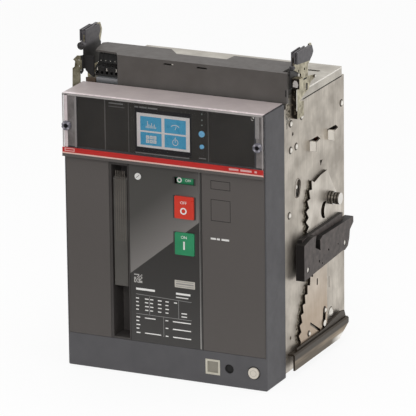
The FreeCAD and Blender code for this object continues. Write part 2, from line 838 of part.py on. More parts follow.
def bracket_web(pull=0.0):
    """The upright sheet: a foot strip, a notched web with a tail, and a riser for the clip.

    pull draws the rear edge of the riser and the tail forward.
    """
    outline = above_top([(bracket_front_y, bracket_foot_low), (bracket_foot_rear, bracket_foot_low),
                         (bracket_foot_rear, -10.5),
                         (-67.0, -7.5), (-52.0, -1.5), (-38.0, 1.5), (-30.0 - pull, 10.5), (-16.0 - pull, 12.5),
                         (-20.0 - pull, 17.0), (-40.0, 20.5), (-40.0, 36.5), (-33.0 - pull / 2, 39.5),
                         (-24.0 - pull, 52.5), (-29.0 - pull, upright_top + 6.5),
                         (-35.0 - pull, upright_top + 6.5), (-38.0 - pull, upright_top), (clip_front, upright_top),
                         (clip_front, 39.5), (-62.0, 28.5), (-62.0, 24.0), (bracket_front_y, 24.0)])
    web = side_profile(outline, web_inner, web_outer)
    tools = [oblong_x(bracket_hole_half, bracket_hole_length, bracket_hole[0], top_plate_height + bracket_hole[1],
                      web_inner - 1, web_outer + 1)]
    for y, rise in upright_holes:
        tools.append(rod_x(upright_hole_radius, web_inner - 1, web_outer + 1, y, top_plate_height + rise))
    return drill(web, tools)


def bracket_foot():
    low = top_plate_height + bracket_foot_low
    foot = block(cradle_half_width, cradle_half_width + bracket_sheet, bracket_front_y, bracket_foot_rear,
                 low, side_plate_top - 1.0)
    flange = block(cradle_half_width, web_outer, bracket_front_y, bracket_front_y + bracket_sheet,
                   low, top_plate_height + 10.5)
    return [foot, flange]


def tab_box():
    """A small folded shelf in front of the right web, open underneath."""
    low = top_plate_height + tab_box_low
    high = top_plate_height + tab_box_high
    left = web_inner + 0.5
    right = web_outer + 9.0
    front = bracket_front_y - tab_box_depth
    outside = block(left, right, front, bracket_front_y, low, high)
    hollow = block(left + bracket_sheet, right - bracket_sheet, front + bracket_sheet, bracket_front_y + 1,
                   low - 1, high - bracket_sheet)
    back = block(left, web_outer, bracket_front_y - 0.1, bracket_front_y + bracket_sheet, low - 6, high - 5)
    return [outside.cut(hollow), back]


def side_tab():
    """The left bracket's stepped tab, which stands in front of the riser."""
    top = top_plate_height
    tab = front_profile([(web_outer + 1, top - 27), (web_outer + 13, top - 27), (web_outer + 12, top + 11.5),
                         (web_outer + 9, top + 13.5), (web_outer + 8, top + 21.5), (web_outer + 11, top + 23.5),
                         (web_outer + 5, top + 29.5), (web_outer - 0.5, top + 29.5), (web_outer - 0.5, top + 12),
                         (web_outer + 1, top + 12)],
                        bracket_tab_y, bracket_tab_y + bracket_sheet)
    arm = block(web_inner, web_outer, bracket_tab_y, bracket_front_y + 1, top + 11.5, top + 24.0)
    return [tab, arm]


def wiring_clip(plug_radius):
    """Two moulded leaves over the riser, joined above it, with a round plug in front."""
    leaf_outline = above_top([(clip_front, clip_top - 1), (-60.0, clip_top), (-57.0, clip_top - 2.5),
                              (-45.0, clip_top - 2), (-41.0, 53.5), (-47.0, 46.5), (-45.0, 40.5), (-41.0, 37.5),
                              (-41.0, 30.5), (-66.0, 29.5), (-84.0, 24.5), (-84.0, 14.5), (-92.0, 14.5),
                              (-92.0, 43.5), (clip_front, 45.0)])
    inner_leaf = side_profile(leaf_outline, web_inner - clip_gap - clip_leaf, web_inner - clip_gap)
    outer_outline = above_top([(clip_front, clip_top - 1), (-57.0, clip_top), (-55.0, clip_top - 2.5),
                               (-38.0, clip_top - 2), (-34.0, 53.5), (-38.0, 48.5), (-46.0, 43.5), (-61.0, 45.0),
                               (clip_front, 47.5)])
    outer_leaf = side_profile(outer_outline, web_outer + clip_gap, web_outer + clip_outer_reach)
    groove = block(web_outer + 2.4, web_outer + 3.6, clip_front - 1, -58.0, top_plate_height + 40,
                   top_plate_height + clip_top + 1)
    bridge = block(web_inner - clip_gap - clip_leaf, web_outer + clip_gap + 1, clip_front, -62.0,
                   top_plate_height + upright_top + clip_gap, top_plate_height + clip_top - 3)
    plug = rod_y(plug_radius, clip_front - 7, clip_front - clip_gap, web_outer + 0.5,
                 top_plate_height + connector_rise)
    stem = block(web_inner - clip_gap - clip_leaf, web_outer + 1.5, clip_front - 5, clip_front - 1.5,
                 top_plate_height + connector_rise - 3, top_plate_height + connector_rise + 3)
    return join([inner_leaf, outer_leaf.cut(groove), bridge, plug, stem])


def clip_wall():
    """The left clip's moulded walls, which close the end of the terminal row."""
    inside = web_inner - clip_gap - clip_leaf
    side_wall = block(inside, inside + clip_leaf, -91.0, -29.0, top_plate_height + 11.0, top_plate_height + 32.0)
    outline = [(inside, top_plate_height + 29), (inside - 14, top_plate_height + 30),
               (inside - 14, top_plate_height + 1), (inside - 9, top_plate_height + 3.5),
               (inside - 2, top_plate_height + 9), (inside, top_plate_height + 14)]
    front_wall = front_profile(outline, -92.0, -89.0)
    return join([side_wall, front_wall])


right_bracket = join([bracket_web()] + bracket_foot() + tab_box())
left_bracket = mirrored(join([bracket_web(left_riser_pull)] + bracket_foot() + side_tab()))
save("clip_brackets", Part.makeCompound([right_bracket, left_bracket]))
left_clip = mirrored(join([wiring_clip(connector_radius), clip_wall()]))
save("wiring_clips", Part.makeCompound([wiring_clip(pin_plug_radius), left_clip]))

# Position contacts: moulded block on the right side, with a raised rear shoulder
contact_block_depth = 12.5
contact_spine_depth = 5.5
contact_rivet_places = [(-60.0, 144.0), (64.0, 147.0)]


def position_contact_block():
    inner = toothed_outer
    outer = toothed_outer + contact_block_depth
    outline = [(-72.5, 131.0), (-44.0, 133.0), (57.0, 138.0), (64.0, 136.5), (74.0, 140.0), (79.0, 150.0),
               (81.0, 161.0), (93.0, 168.5), (92.5, 177.0), (-12.0, 178.5), (-20.0, 175.0), (-19.0, 160.0),
               (-36.0, 168.0), (-33.0, 184.5), (-45.0, 185.5), (-72.5, 181.0)]
    face = side_profile(outline, inner, outer)
    spine = side_profile([(-66.0, 134.0), (58.0, 141.0), (72.0, 158.0), (72.0, 187.0), (-64.0, 186.0)],
                         inner, inner + contact_spine_depth)
    body = join([face, spine])
    holes = []
    for y, z, radius in ((8.6, 153.1, 1.8), (-22.9, 145.5, 2.0), (-12.5, 139.8, 1.4), (40.0, 152.0, 1.4)):
        holes.append(rod_x(radius, outer - 4, outer + 1, y, z))
    for y, z in contact_rivet_places:
        holes.append(rod_x(3.8, outer - 0.8, outer + 1, y, z))
    return drill(body, holes)


save("position_contact_block", position_contact_block())

# Breaker front mask: deep moulded frame, open at the back
trip_left = -51.0
trip_right = 64.2


def front_mask():
    outer = block(-mask_half_width, mask_half_width, mask_front_y, mask_back_y, mask_bottom, mask_top)
    outer = rounded(outer, 2.0, (0, 1, 0))
    front_edges = [edge for edge in outer.Edges
                   if edge.BoundBox.YLength < 0.01 and abs(edge.BoundBox.Center.y - mask_front_y) < 0.01]
    outer = outer.makeFillet(mask_edge_round, front_edges)
    hollow = block(-mask_half_width + mask_wall, mask_half_width - mask_wall, wall_back_y, mask_back_y + 1,
                   mask_bottom + mask_wall, mask_top - mask_wall)
    recess_half = mask_half_width - mask_rim
    panels = block(-recess_half, recess_half, mask_front_y - 1, panel_back_y, panel_bottom, panel_top)
    uppers = block(bezel_left, bezel_right, mask_front_y - 1, panel_back_y, bezel_bottom, bezel_top)
    tools = [hollow, panels, uppers]
    through = wall_back_y + 1
    front = mask_front_y - 1
    tools.append(block(lever_slot_left - 2, lever_slot_right + 2, front, through,
                       lever_slot_bottom - 2, lever_slot_top + 2))
    tools.append(block(-50.0, 50.0, front, through, panel_bottom + 6, panel_top - 6))
    tools.append(block(trip_left + 2, trip_right - 2, front, through, bezel_bottom + 2, bezel_top - 2))
    tools.append(block(window_x - window_opening, window_x + window_opening, front, through,
                       window_z - window_opening, window_z + window_opening))
    tools.append(rod_y(crank_hole_radius, front, through, crank_x, crank_z))
    tools.append(rod_y(release_radius + button_play, front, through, release_x, release_z))
    for x in (-latch_x, latch_x):
        tools.append(rod_y(3.0, front, through, x, latch_z))
    groove = block(window_x - window_half, window_x + window_half, front, mask_front_y + 0.8,
                   window_z - window_half, window_z + window_half)
    window_rim = block(window_x - window_half + 0.8, window_x + window_half - 0.8, front, mask_front_y + 1,
                       window_z - window_half + 0.8, window_z + window_half - 0.8)
    tools.append(groove.cut(window_rim))
    return drill(outer, tools)


save("front_mask", front_mask())

# Front panels: thin moulded plates that sit flush in the mask
left_panel_right = lever_slot_left - 4.0
centre_left = -52.5
centre_right = 53.8
right_panel_left = 54.6
blank_places = [(82.0, 280.4, 28.4, 12.1), (82.0, 245.6, 28.6, 29.8)]
blank_groove = 0.7


def panel(left, right):
    return block(left, right, mask_front_y, panel_back_y, panel_bottom + panel_gap, panel_top - panel_gap)


def right_panel():
    """Its two accessory blanks are moulded in, each ringed by a thin groove."""
    plate = panel(right_panel_left, mask_half_width - mask_rim - panel_gap)
    tools = []
    for x, z, width, height in blank_places:
        ring = block(x - width / 2, x + width / 2, mask_front_y - 1, mask_front_y + blank_groove,
                     z - height / 2, z + height / 2)
        middle = block(x - width / 2 + blank_groove, x + width / 2 - blank_groove, mask_front_y - 2,
                       mask_front_y + 2, z - height / 2 + blank_groove, z + height / 2 - blank_groove)
        tools.append(ring.cut(middle))
    return drill(plate, tools)


plug_x = -39.0
plug_z = 279.6
plug_radius = 4.6


def centre_panel():
    plate = panel(centre_left, centre_right)
    front = mask_front_y - 1
    back = panel_back_y + 1
    half_width = button_width / 2 + button_play
    half_height = push_button_height / 2 + button_play
    tools = []
    for z in (off_button_z, on_button_z):
        tools.append(block(push_button_x - half_width, push_button_x + half_width, front, back,
                           z - half_height, z + half_height))
    tools.append(block(push_button_x - half_width, push_button_x + half_width, front, back,
                       state_window_z - state_window_height / 2, state_window_z + state_window_height / 2))
    tools.append(rod_y(plug_radius, front, back, plug_x, plug_z))
    return drill(plate, tools)


save("left_front_panel", panel(-mask_half_width + mask_rim + panel_gap, left_panel_right))
save("right_front_panel", right_panel())
save("centre_panel", centre_panel())
save("key_plug", join([rod_y(plug_radius, mask_front_y - 0.8, panel_back_y + 6, plug_x, plug_z),
                       rod_y(plug_radius + 2, panel_back_y, panel_back_y + 2, plug_x, plug_z)]))

# Charging lever pocket with the lever and its hinge pin
pocket_back_y = -130.0
pocket_wall = 1.5


def lever_pocket():
    left = lever_slot_left - 3.5
    right = centre_left - panel_gap
    flange = block(left, right, mask_front_y, panel_back_y, panel_bottom + panel_gap, panel_top - panel_gap)
    box = block(lever_slot_left - pocket_wall, lever_slot_right + pocket_wall, panel_back_y, pocket_back_y,
                lever_slot_bottom - pocket_wall, lever_slot_top + pocket_wall)
    inside = block(lever_slot_left, lever_slot_right, mask_front_y - 1, pocket_back_y - pocket_wall,
                   lever_slot_bottom, lever_slot_top)
    pin = rod_x(lever_pin_radius, lever_slot_left - 1, lever_slot_right + 1, lever_pivot_y, lever_pivot_z)
    return join([join([flange, box]).cut(inside), pin])


save("lever_pocket", lever_pocket())


def charging_lever():
    middle = (lever_slot_left + lever_slot_right) / 2
    left = middle - lever_width / 2
    right = middle + lever_width / 2
    face = mask_front_y + 1.0
    outline = [(face, lever_pivot_z - 6), (face, lever_top - 3), (face + 3, lever_top), (face + 11, lever_top),
               (face + 11, lever_top - 4), (face + 8, lever_top - 10), (face + 8, lever_pivot_z + 16),
               (lever_pivot_y + 7, lever_pivot_z + 4), (lever_pivot_y + 7, lever_pivot_z - 4),
               (lever_pivot_y, lever_pivot_z - 7)]
    body = side_profile(outline, left, right)
    body = rounded(body, 1.2, (0, 0, 1))
    return body.cut(rod_x(lever_pin_radius + running_gap, left - 1, right + 1, lever_pivot_y, lever_pivot_z))


save("charging_lever", charging_lever())


# Push buttons
def push_button(z):
    half_width = button_width / 2
    half_height = push_button_height / 2
    cap = block(push_button_x - half_width, push_button_x + half_width, mask_front_y - 1.6, mask_front_y + 12,
                z - half_height, z + half_height)
    cap = rounded(cap, 1.5, (0, 1, 0))
    stop = block(push_button_x - half_width - 2.5, push_button_x + half_width + 2.5, panel_back_y + 0.3,
                 mask_front_y + 4, z - half_height + 6, z + half_height - 6)
    return join([cap, stop])


def round_button(x, z, radius, front, back):
    shaft = rod_y(radius, front, back, x, z)
    rim = []
    for edge in shaft.Edges:
        if abs(edge.BoundBox.Center.y - front) < 0.01 and edge.BoundBox.XLength > radius:
            rim.append(edge)
    return shaft.makeFillet(min(0.8, radius / 4), rim)


save("off_button", push_button(off_button_z))
save("on_button", push_button(on_button_z))
release_button = join([round_button(release_x, release_z, release_radius, mask_front_y - 2.4, mask_front_y + 14.0),
                       rod_y(release_radius + 2.5, wall_back_y + 0.3, wall_back_y + 2.3, release_x, release_z)])
save("release_button", release_button)

# Protection unit with its touch screen, keys and the dark panels beside it
screen_half_width = 38.8
screen_low = 321.6
screen_high = 368.4
unit_front_y = mask_front_y - 1.0
unit_back_y = -112.0
unit_gap = 0.3


def protection_unit():
    body = block(trip_left + unit_gap, trip_right - unit_gap, unit_front_y, panel_back_y, bezel_bottom + unit_gap,
                 bezel_top - unit_gap)
    inner = block(trip_left + 2 + unit_gap, trip_right - 2 - unit_gap, panel_back_y - 1, unit_back_y,
                  bezel_bottom + 2 + unit_gap, bezel_top - 2 - unit_gap)
    tools = [block(-screen_half_width - 0.2, screen_half_width + 0.2, unit_front_y - 1, unit_front_y + 1.6,
                   screen_low - 0.2, screen_high + 0.2)]
    tools.append(rod_y(home_button_radius + 0.3, unit_front_y - 1, unit_front_y + 6, unit_button_x, home_button_z))
    tools.append(rod_y(test_button_radius + 0.3, unit_front_y - 1, unit_front_y + 6, unit_button_x, test_button_z))
    return drill(join([body, inner]), tools)


def upper_bezel():
    left = block(bezel_left + unit_gap, trip_left - unit_gap, mask_front_y, panel_back_y,
                 bezel_bottom + unit_gap, bezel_top - unit_gap)
    split = block(-86.8, -86.2, mask_front_y - 1, panel_back_y - 0.6, bezel_bottom, bezel_top)
    right = block(trip_right + unit_gap, bezel_right - unit_gap, mask_front_y, panel_back_y,
                  bezel_bottom + unit_gap, bezel_top - unit_gap)
    return Part.makeCompound([left.cut(split), right])


save("protection_unit", protection_unit())
save("upper_bezel", upper_bezel())
save("touch_screen", block(-screen_half_width, screen_half_width, unit_front_y - 0.4, unit_front_y + 1.6,
                           screen_low, screen_high))
save("home_button", round_button(unit_button_x, home_button_z, home_button_radius, unit_front_y - 1.2,
                                 unit_front_y + 4.2))
save("test_button", round_button(unit_button_x, test_button_z, test_button_radius, unit_front_y - 1.2,
                                 unit_front_y + 4.2))


# Clear cover over the upper front, with the red trim along its foot
def clear_cover():
    half = cover_half_width
    top = mask_top + cover_gap + cover_roof_thickness
    outer = block(-half, half, cover_front_y, mask_front_y, cover_bottom, top)
    outer = rounded(outer, 1.5, (0, 1, 0))
    inner = block(-half + cover_thickness, half - cover_thickness, cover_front_y + cover_thickness,
                  mask_front_y + 1, cover_bottom + cover_thickness, top - cover_roof_thickness)
    holes = [rod_y(2.7, cover_front_y - 1, mask_front_y, x, latch_z) for x in (-latch_x, latch_x)]
    posts = [rod_y(4.6, cover_front_y + cover_thickness, mask_front_y, x, latch_z) for x in (-latch_x, latch_x)]
    roof = block(-half, half, cover_front_y + 1.5, cover_roof_back, top - cover_roof_thickness, top)
    shell = join([outer.cut(inner), roof] + posts)
    return drill(shell, holes)


def red_strip():
    half = cover_half_width
    bar = block(-half, half, cover_front_y - strip_thickness, cover_front_y, cover_bottom + strip_rise,
                cover_bottom + strip_rise + strip_height)
    return rounded(bar, 0.5, (0, 1, 0))


save("clear_cover", clear_cover())
save("red_strip", red_strip())


def cover_latch():
    head = rod_y(6.5, cover_front_y - 4.5, cover_front_y - 0.3, latch_x, latch_z)
    flutes = []
    for index in range(8):
        angle = math.radians(index * 45)
        flutes.append(rod_y(1.3, cover_front_y - 5, cover_front_y, latch_x + 7.0 * math.cos(angle),
                            latch_z + 7.0 * math.sin(angle)))
    slot = block(latch_x - 4.5, latch_x + 4.5, cover_front_y - 5, cover_front_y - 3.3, latch_z - 0.7, latch_z + 0.7)
    shank = rod_y(2.65, cover_front_y - 1, wall_back_y + 3, latch_x, latch_z)
    return join([drill(head, flutes + [slot]), shank])


save_pair("cover_latch", cover_latch())


# Position drum behind its window in the mask
drum_y = -145.5
drum_radius = 10.5
drum_axle_radius = 2.0


def position_flag():
    left = window_x - 7.0
    right = window_x + 7.0
    drum = rod_x(drum_radius, left, right, drum_y, window_z)
    drum = drum.cut(rod_x(drum_radius - 2, left + 1.5, right - 1.5, drum_y, window_z))
    keep = side_profile([(drum_y, window_z), (drum_y + 4, window_z - 14), (drum_y - 16, window_z - 14),
                         (drum_y - 16, window_z + 16), (drum_y + 2, window_z + 16), (drum_y + 8, window_z)],
                        left - 1, right + 1)
    axle = rod_x(drum_axle_radius, window_x - 11, window_x + 11, drum_y, window_z)
    hub = rod_x(4.0, left, right, drum_y, window_z)
    return join([drum.common(keep), hub, axle])


save("position_flag", position_flag())

# Racking carrier under the breaker and the screw that the crank turns
screw_back_y = 6.0
carrier_front_y = -132.0
screw_journal_radius = 5.0


def racking_carrier():
    top = case_bottom
    front = block(56.0, 110.0, carrier_front_y, carrier_front_y + 3, 10.0, top)
    rear = block(74.0, 110.0, screw_back_y - 3, screw_back_y, 10.0, top)
    web = block(56.0, 110.0, carrier_front_y, screw_back_y, top - 3, top)
    ears = []
    for x in (window_x - 10.5, window_x + 8.5):
        ears.append(side_profile([(carrier_front_y, 16.0), (carrier_front_y, 36.0), (drum_y - 4, 30.0),
                                  (drum_y - 4, 21.0)], x, x + 2))
    body = join([front, rear, web] + ears)
    tools = [rod_y(screw_journal_radius + running_gap, carrier_front_y - 1, screw_back_y + 1, crank_x, crank_z),
             rod_x(drum_axle_radius + running_gap, window_x - 12, window_x + 12, drum_y, window_z)]
    return drill(body, tools)


def racking_screw():
    thread = rod_y(7.0, carrier_front_y + 3.3, screw_back_y - 3.3, crank_x, crank_z)
    journal = rod_y(screw_journal_radius, carrier_front_y - 12, screw_back_y + 4, crank_x, crank_z)
    hexagon = []
    for index in range(6):
        angle = math.radians(60 * index)
        hexagon.append((crank_x + screw_journal_radius * math.cos(angle),
                        crank_z + screw_journal_radius * math.sin(angle)))
    drive = front_profile(hexagon, wall_back_y + 2, carrier_front_y - 11)
    return join([thread, journal, drive])


save("racking_carrier", racking_carrier())
save("racking_screw", racking_screw())

# Breaker side plates with their guide rollers
flange_reach = 9.0


def breaker_plate():
    inner = breaker_plate_half_width - sheet
    outline = [(wall_back_y, breaker_plate_bottom + 16), (-142.0, breaker_plate_bottom + 16),
               (-134.0, breaker_plate_bottom), (-20.0, breaker_plate_bottom),
               (breaker_plate_back, breaker_plate_bottom + 8), (breaker_plate_back, breaker_plate_top - 20),
               (breaker_plate_back - 30, breaker_plate_top), (wall_back_y, breaker_plate_top)]
    plate = side_profile(outline, inner, breaker_plate_half_width)
    flange = block(inner, breaker_plate_half_width + flange_reach, wall_back_y, wall_back_y + sheet,
                   breaker_plate_bottom + 30, breaker_plate_top - 40)
    tools = [rod_x(roller_pin_radius, inner - 1, breaker_plate_half_width + 1, y, rail_centre_z)
             for y in (front_roller_y, rear_roller_y)]
    tools.append(rod_x(shaft_radius + running_gap, inner - 1, breaker_plate_half_width + 1,
                       shaft_y, shaft_z))
    tools.append(oblong_x(16.0, 90.0, -110.0, 190.0, inner - 1, breaker_plate_half_width + 1))
    return drill(join([plate, flange]), tools)


right_breaker_plate = breaker_plate()
save("breaker_side_plates", Part.makeCompound([right_breaker_plate, mirrored(right_breaker_plate)]))


def guide_rollers():
    wheels = []
    for y in (front_roller_y, rear_roller_y):
        wheel = rod_x(roller_radius, breaker_plate_half_width + 0.6, rail_outer - rail_sheet - 0.5,
                      y, rail_centre_z)
        pin = rod_x(roller_pin_radius, breaker_plate_half_width - sheet - 2, rail_outer - rail_sheet - 0.5,
                    y, rail_centre_z)
        head = rod_x(5.0, breaker_plate_half_width - sheet - 2, breaker_plate_half_width - sheet, y, rail_centre_z)
        wheels.append(join([wheel, pin, head]))
    return Part.makeCompound(wheels + [mirrored(wheel) for wheel in wheels])


save("guide_rollers", guide_rollers())

# Pole casing: two moulded halves with a chamber for each pole
case_half_width = breaker_plate_half_width - sheet
chamber_half_width = pole_pitch / 2 - 3.0


def chambers(y0, y1):
    boxes = []
    for x in pole_places:
        left = max(x - chamber_half_width, -case_half_width + case_wall)
        right = min(x + chamber_half_width, case_half_width - case_wall)
        boxes.append(block(left, right, y0, y1, case_bottom + case_wall, case_top - case_wall))
    return boxes


def roller_relief():
    """Room for the roller pin heads beside the lower corners of the casing."""
    pockets = []
    for y in (front_roller_y, rear_roller_y):
        pocket = rod_x(6.0, case_half_width - 3, case_half_width + 1, y, rail_centre_z)
        pockets += [pocket, mirrored(pocket)]
    return pockets


def case_front():
    body = block(-case_half_width, case_half_width, case_front_y, case_split_y, case_bottom, case_top)
    tools = chambers(case_front_y + case_wall, case_split_y + 1) + roller_relief()
    tools.append(rod_x(shaft_radius + 0.6, -case_half_width - 1, case_half_width + 1, shaft_y, shaft_z))
    tools.append(block(-chamber_half_width - 0.1, chamber_half_width + 0.1, case_split_y - 12, case_split_y + 1,
                       case_top - 60, case_top - 50))
    divider_gap = shaft_radius + 4.0
    for x in (-pole_pitch / 2, pole_pitch / 2):
        tools.append(rod_x(divider_gap, x - 4, x + 4, shaft_y, shaft_z))
    return drill(body, tools)


def case_rear():
    body = block(-case_half_width, case_half_width, case_split_y, breaker_plate_back - 2, case_bottom, case_top)
    tools = chambers(case_split_y - 1, breaker_plate_back - 2 - case_wall) + roller_relief()
    tools.append(rod_x(arm_axle_radius + running_gap, -case_half_width, case_half_width, arm_pivot_y, arm_pivot_z))
    for x in pole_places:
        for z in (upper_bar_z, lower_bar_z):
            tools.append(block(x - jaw_half_width, x + jaw_half_width, breaker_plate_back - 8, breaker_plate_back,
                               z - bar_thickness / 2, z + bar_thickness / 2))
    return drill(body, tools)


save("pole_case_front", case_front())
save("pole_case_rear", case_rear())

# Arc chutes above the contacts: a ceramic-like box of steel plates for each pole
chute_low = upper_bar_z + 23.0


def arc_chutes():
    chutes = []
    for x in pole_places:
        left = max(x - chamber_half_width, -case_half_width + case_wall) + 1
        right = min(x + chamber_half_width, case_half_width - case_wall) - 1
        body = block(left, right, case_front_y + case_wall + 1, 4.0, chute_low, case_top - case_wall)
        slots = []
        for index in range(6):
            y = -50.0 + index * 8.5
            slots.append(block(left + 4, right - 4, y, y + 4.5, chute_low - 1, case_top - case_wall - 8))
        chutes.append(drill(body, slots))
    return Part.makeCompound(chutes)


save("arc_chutes", arc_chutes())

# Jaw contacts: sprung copper fingers that grip the cradle's blades, on the pole conductors
jaw_front_y = breaker_plate_back - 2.0
upper_conductor_y = arm_pivot_y + arm_thickness / 2 + 0.5
lower_conductor_y = -14.0
finger_slot = 1.6


def jaw(x, z, conductor_front_y):
    low = z - jaw_half_height
    high = z + jaw_half_height
    grip = bar_thickness / 2 + jaw_gap
    stem = block(x - jaw_half_width + 1, x + jaw_half_width - 1, conductor_front_y, jaw_front_y + 12,
                 z - bar_thickness / 2, z + bar_thickness / 2)
    back = jaw_front_y + jaw_reach
    body = block(x - jaw_half_width, x + jaw_half_width, jaw_front_y, back, low, high)
    mouth = block(x - jaw_half_width - 1, x + jaw_half_width + 1, jaw_front_y + 12, back + 1, z - grip, z + grip)
    flare = side_profile([(back - 5, z - grip), (back + 1, z - grip - 4), (back + 1, z + grip + 4),
                          (back - 5, z + grip)], x - jaw_half_width - 1, x + jaw_half_width + 1)
    tools = [mouth, flare]
    for index in (-2, -1, 0, 1, 2):
        middle = x + index * jaw_half_width / 3
        tools.append(block(middle - finger_slot / 2, middle + finger_slot / 2, jaw_front_y + 14, back + 1,
                           low - 1, high + 1))
    return join([drill(body, tools), stem])


save("upper_jaws", Part.makeCompound([jaw(x, upper_bar_z, upper_conductor_y) for x in pole_places]))
save("lower_jaws", Part.makeCompound([jaw(x, lower_bar_z, lower_conductor_y) for x in pole_places]))

# Main shaft with a forked crank for each pole
crank_cheek = 4.0
crank_gap = 10.0
crank_eye_radius = 6.5
crank_hub_radius = 11.0
rod_pin_radius = 3.0
rod_half_width = 3.5


def crank_pin_place():
    angle = math.radians(crank_rest_angle)
    return (shaft_y + crank_radius * math.cos(angle), shaft_z + crank_radius * math.sin(angle))


def arm_point(height):
    lean = math.radians(arm_rest_lean)
    return (arm_pivot_y - height * math.sin(lean), arm_pivot_z + height * math.cos(lean))


def link_plate(start, start_radius, end, end_radius, x0, x1):
    """Two discs joined by their outer tangents, as a lever or rod is cut from plate."""
    reach = math.hypot(end[0] - start[0], end[1] - start[1])
    heading = math.atan2(end[1] - start[1], end[0] - start[0])
    tangent = math.acos((start_radius - end_radius) / reach)
    corners = []
    for place, radius, turn in ((start, start_radius, tangent), (end, end_radius, tangent),
                                (end, end_radius, -tangent), (start, start_radius, -tangent)):
        angle = heading + turn
        corners.append((place[0] + radius * math.cos(angle), place[1] + radius * math.sin(angle)))
    web = side_profile(corners, x0, x1)
    discs = [rod_x(start_radius, x0, x1, start[0], start[1]), rod_x(end_radius, x0, x1, end[0], end[1])]
    return join([web] + discs)


def main_shaft():
    pin = crank_pin_place()
    end = breaker_plate_half_width + 2.0
    pieces = [rod_x(shaft_radius, -end, end, shaft_y, shaft_z)]
    for x in pole_places:
        for start in (x - crank_gap / 2 - crank_cheek, x + crank_gap / 2):
            pieces.append(link_plate((shaft_y, shaft_z), crank_hub_radius, pin, crank_eye_radius,
                                     start, start + crank_cheek))
        pieces.append(rod_x(rod_pin_radius, x - crank_gap / 2 - 1, x + crank_gap / 2 + 1, pin[0], pin[1]))
    return join(pieces)


save("main_shaft", main_shaft())


# Connecting rods from the cranks to the contact arms
def connecting_rod(x):
    pin = crank_pin_place()
    end = arm_point(arm_pin_height)
    half = rod_half_width
    bar = link_plate(pin, rod_pin_radius + 3.0, end, rod_pin_radius + open_pivot_gap + 2.5, x - half, x + half)
    return drill(bar, [rod_x(rod_pin_radius + running_gap, x - half - 1, x + half + 1, pin[0], pin[1]),
                       rod_x(rod_pin_radius + open_pivot_gap, x - half - 1, x + half + 1, end[0], end[1])])


save("connecting_rods", Part.makeCompound([connecting_rod(x) for x in pole_places]))


# Moving contacts: a fork and blade per pole on one insulated cross shaft
def contact_arm(x):
    pin_y, pin_z = arm_point(arm_pin_height)
    half = arm_thickness / 2
    top = arm_pivot_z + arm_length
    outline = [(arm_pivot_y - half, arm_pivot_z - 8), (arm_pivot_y + half, arm_pivot_z - 8),
               (arm_pivot_y + half, top), (arm_pivot_y - 2, top), (arm_pivot_y - half, top - 30)]
    blade = side_profile(outline, x - arm_half_width, x + arm_half_width)
    fork = block(x - 5, x + 5, arm_pivot_y - half - 1, arm_pivot_y + half + 1,
                 arm_pivot_z + arm_pin_height - 14, arm_pivot_z + arm_pin_height + 14)
    fingers = []
    for offset in (-arm_half_width / 3, arm_half_width / 3):
        fingers.append(block(x + offset - 0.6, x + offset + 0.6, arm_pivot_y - half - 1, arm_pivot_y + half + 1,
                             arm_pivot_z + 72, top + 1))
    blade = drill(blade, [fork] + fingers)
    blade.rotate(Vector(0, arm_pivot_y, arm_pivot_z), Vector(1, 0, 0), arm_rest_lean)
    pin = rod_x(rod_pin_radius, x - 6, x + 6, pin_y, pin_z)
    return join([blade, pin])


def moving_contacts():
    axle = rod_x(arm_axle_radius, -case_half_width + 1, case_half_width - 1, arm_pivot_y, arm_pivot_z)
    return join([contact_arm(x) for x in pole_places] + [axle])


save("moving_contacts", moving_contacts())


# Mechanism frame between the front and the casing
frame_left = -48.0
frame_right = 100.0
frame_sheet = 2.5
frame_front_y = -140.0
frame_nose_y = -150.0
frame_low = 70.0
frame_step = 150.0
frame_high = state_window_z + 19.5
frame_nose_low = state_window_z - 18.5
flag_y = -146.5
flag_radius = 12.6
flag_axle_radius = 2.0
ratchet_y = -100.0
ratchet_z = 170.0
ratchet_shaft_radius = 6.0
spring_radius = 11.0
spring_wire = 2.2
spring_turns = 7
spring_low = 200.0
spring_high = 282.0
spring_x = 70.0
spring_y = -92.0


def spring_guide():
    """A post with a seat at each end of the spring, held off the right frame plate."""
    guide = rod_z(spring_radius - spring_wire - 0.5, spring_low - 6, spring_high + 6, spring_x, spring_y)
    pieces = [guide]
    for low, high in ((spring_low - 4, spring_low - 0.3), (spring_high + 0.3, spring_high + 4)):
        pieces.append(rod_z(spring_radius + 3, low, high, spring_x, spring_y))
        pieces.append(block(spring_x, frame_right, spring_y - 5, spring_y + 5, low, high))
    return pieces


def mechanism_frame():
    outline = [(frame_front_y, frame_low), (case_front_y, frame_low), (case_front_y, frame_high),
               (frame_nose_y, frame_high), (frame_nose_y, frame_nose_low), (frame_front_y + 6, frame_nose_low - 12),
               (frame_front_y + 6, frame_step + 10), (frame_front_y, frame_step)]
    plates = [side_profile(outline, frame_left, frame_left + frame_sheet),
              side_profile(outline, frame_right - frame_sheet, frame_right)]
    ties = []
    for y, z in ((-72.0, frame_low + 12), (-72.0, frame_high - 12), (-128.0, frame_low + 14)):
        ties.append(rod_x(5.0, frame_left, frame_right, y, z))
    back = block(frame_left, frame_right, case_front_y - frame_sheet, case_front_y, frame_low, frame_low + 40)
    body = join(plates + ties + [back] + spring_guide())
    tools = [rod_x(flag_axle_radius + running_gap, frame_left - 1, frame_right + 1, flag_y, state_window_z),
             rod_x(ratchet_shaft_radius + running_gap, frame_left - 1, frame_right + 1, ratchet_y, ratchet_z)]
    return drill(body, tools)


save("mechanism_frame", mechanism_frame())


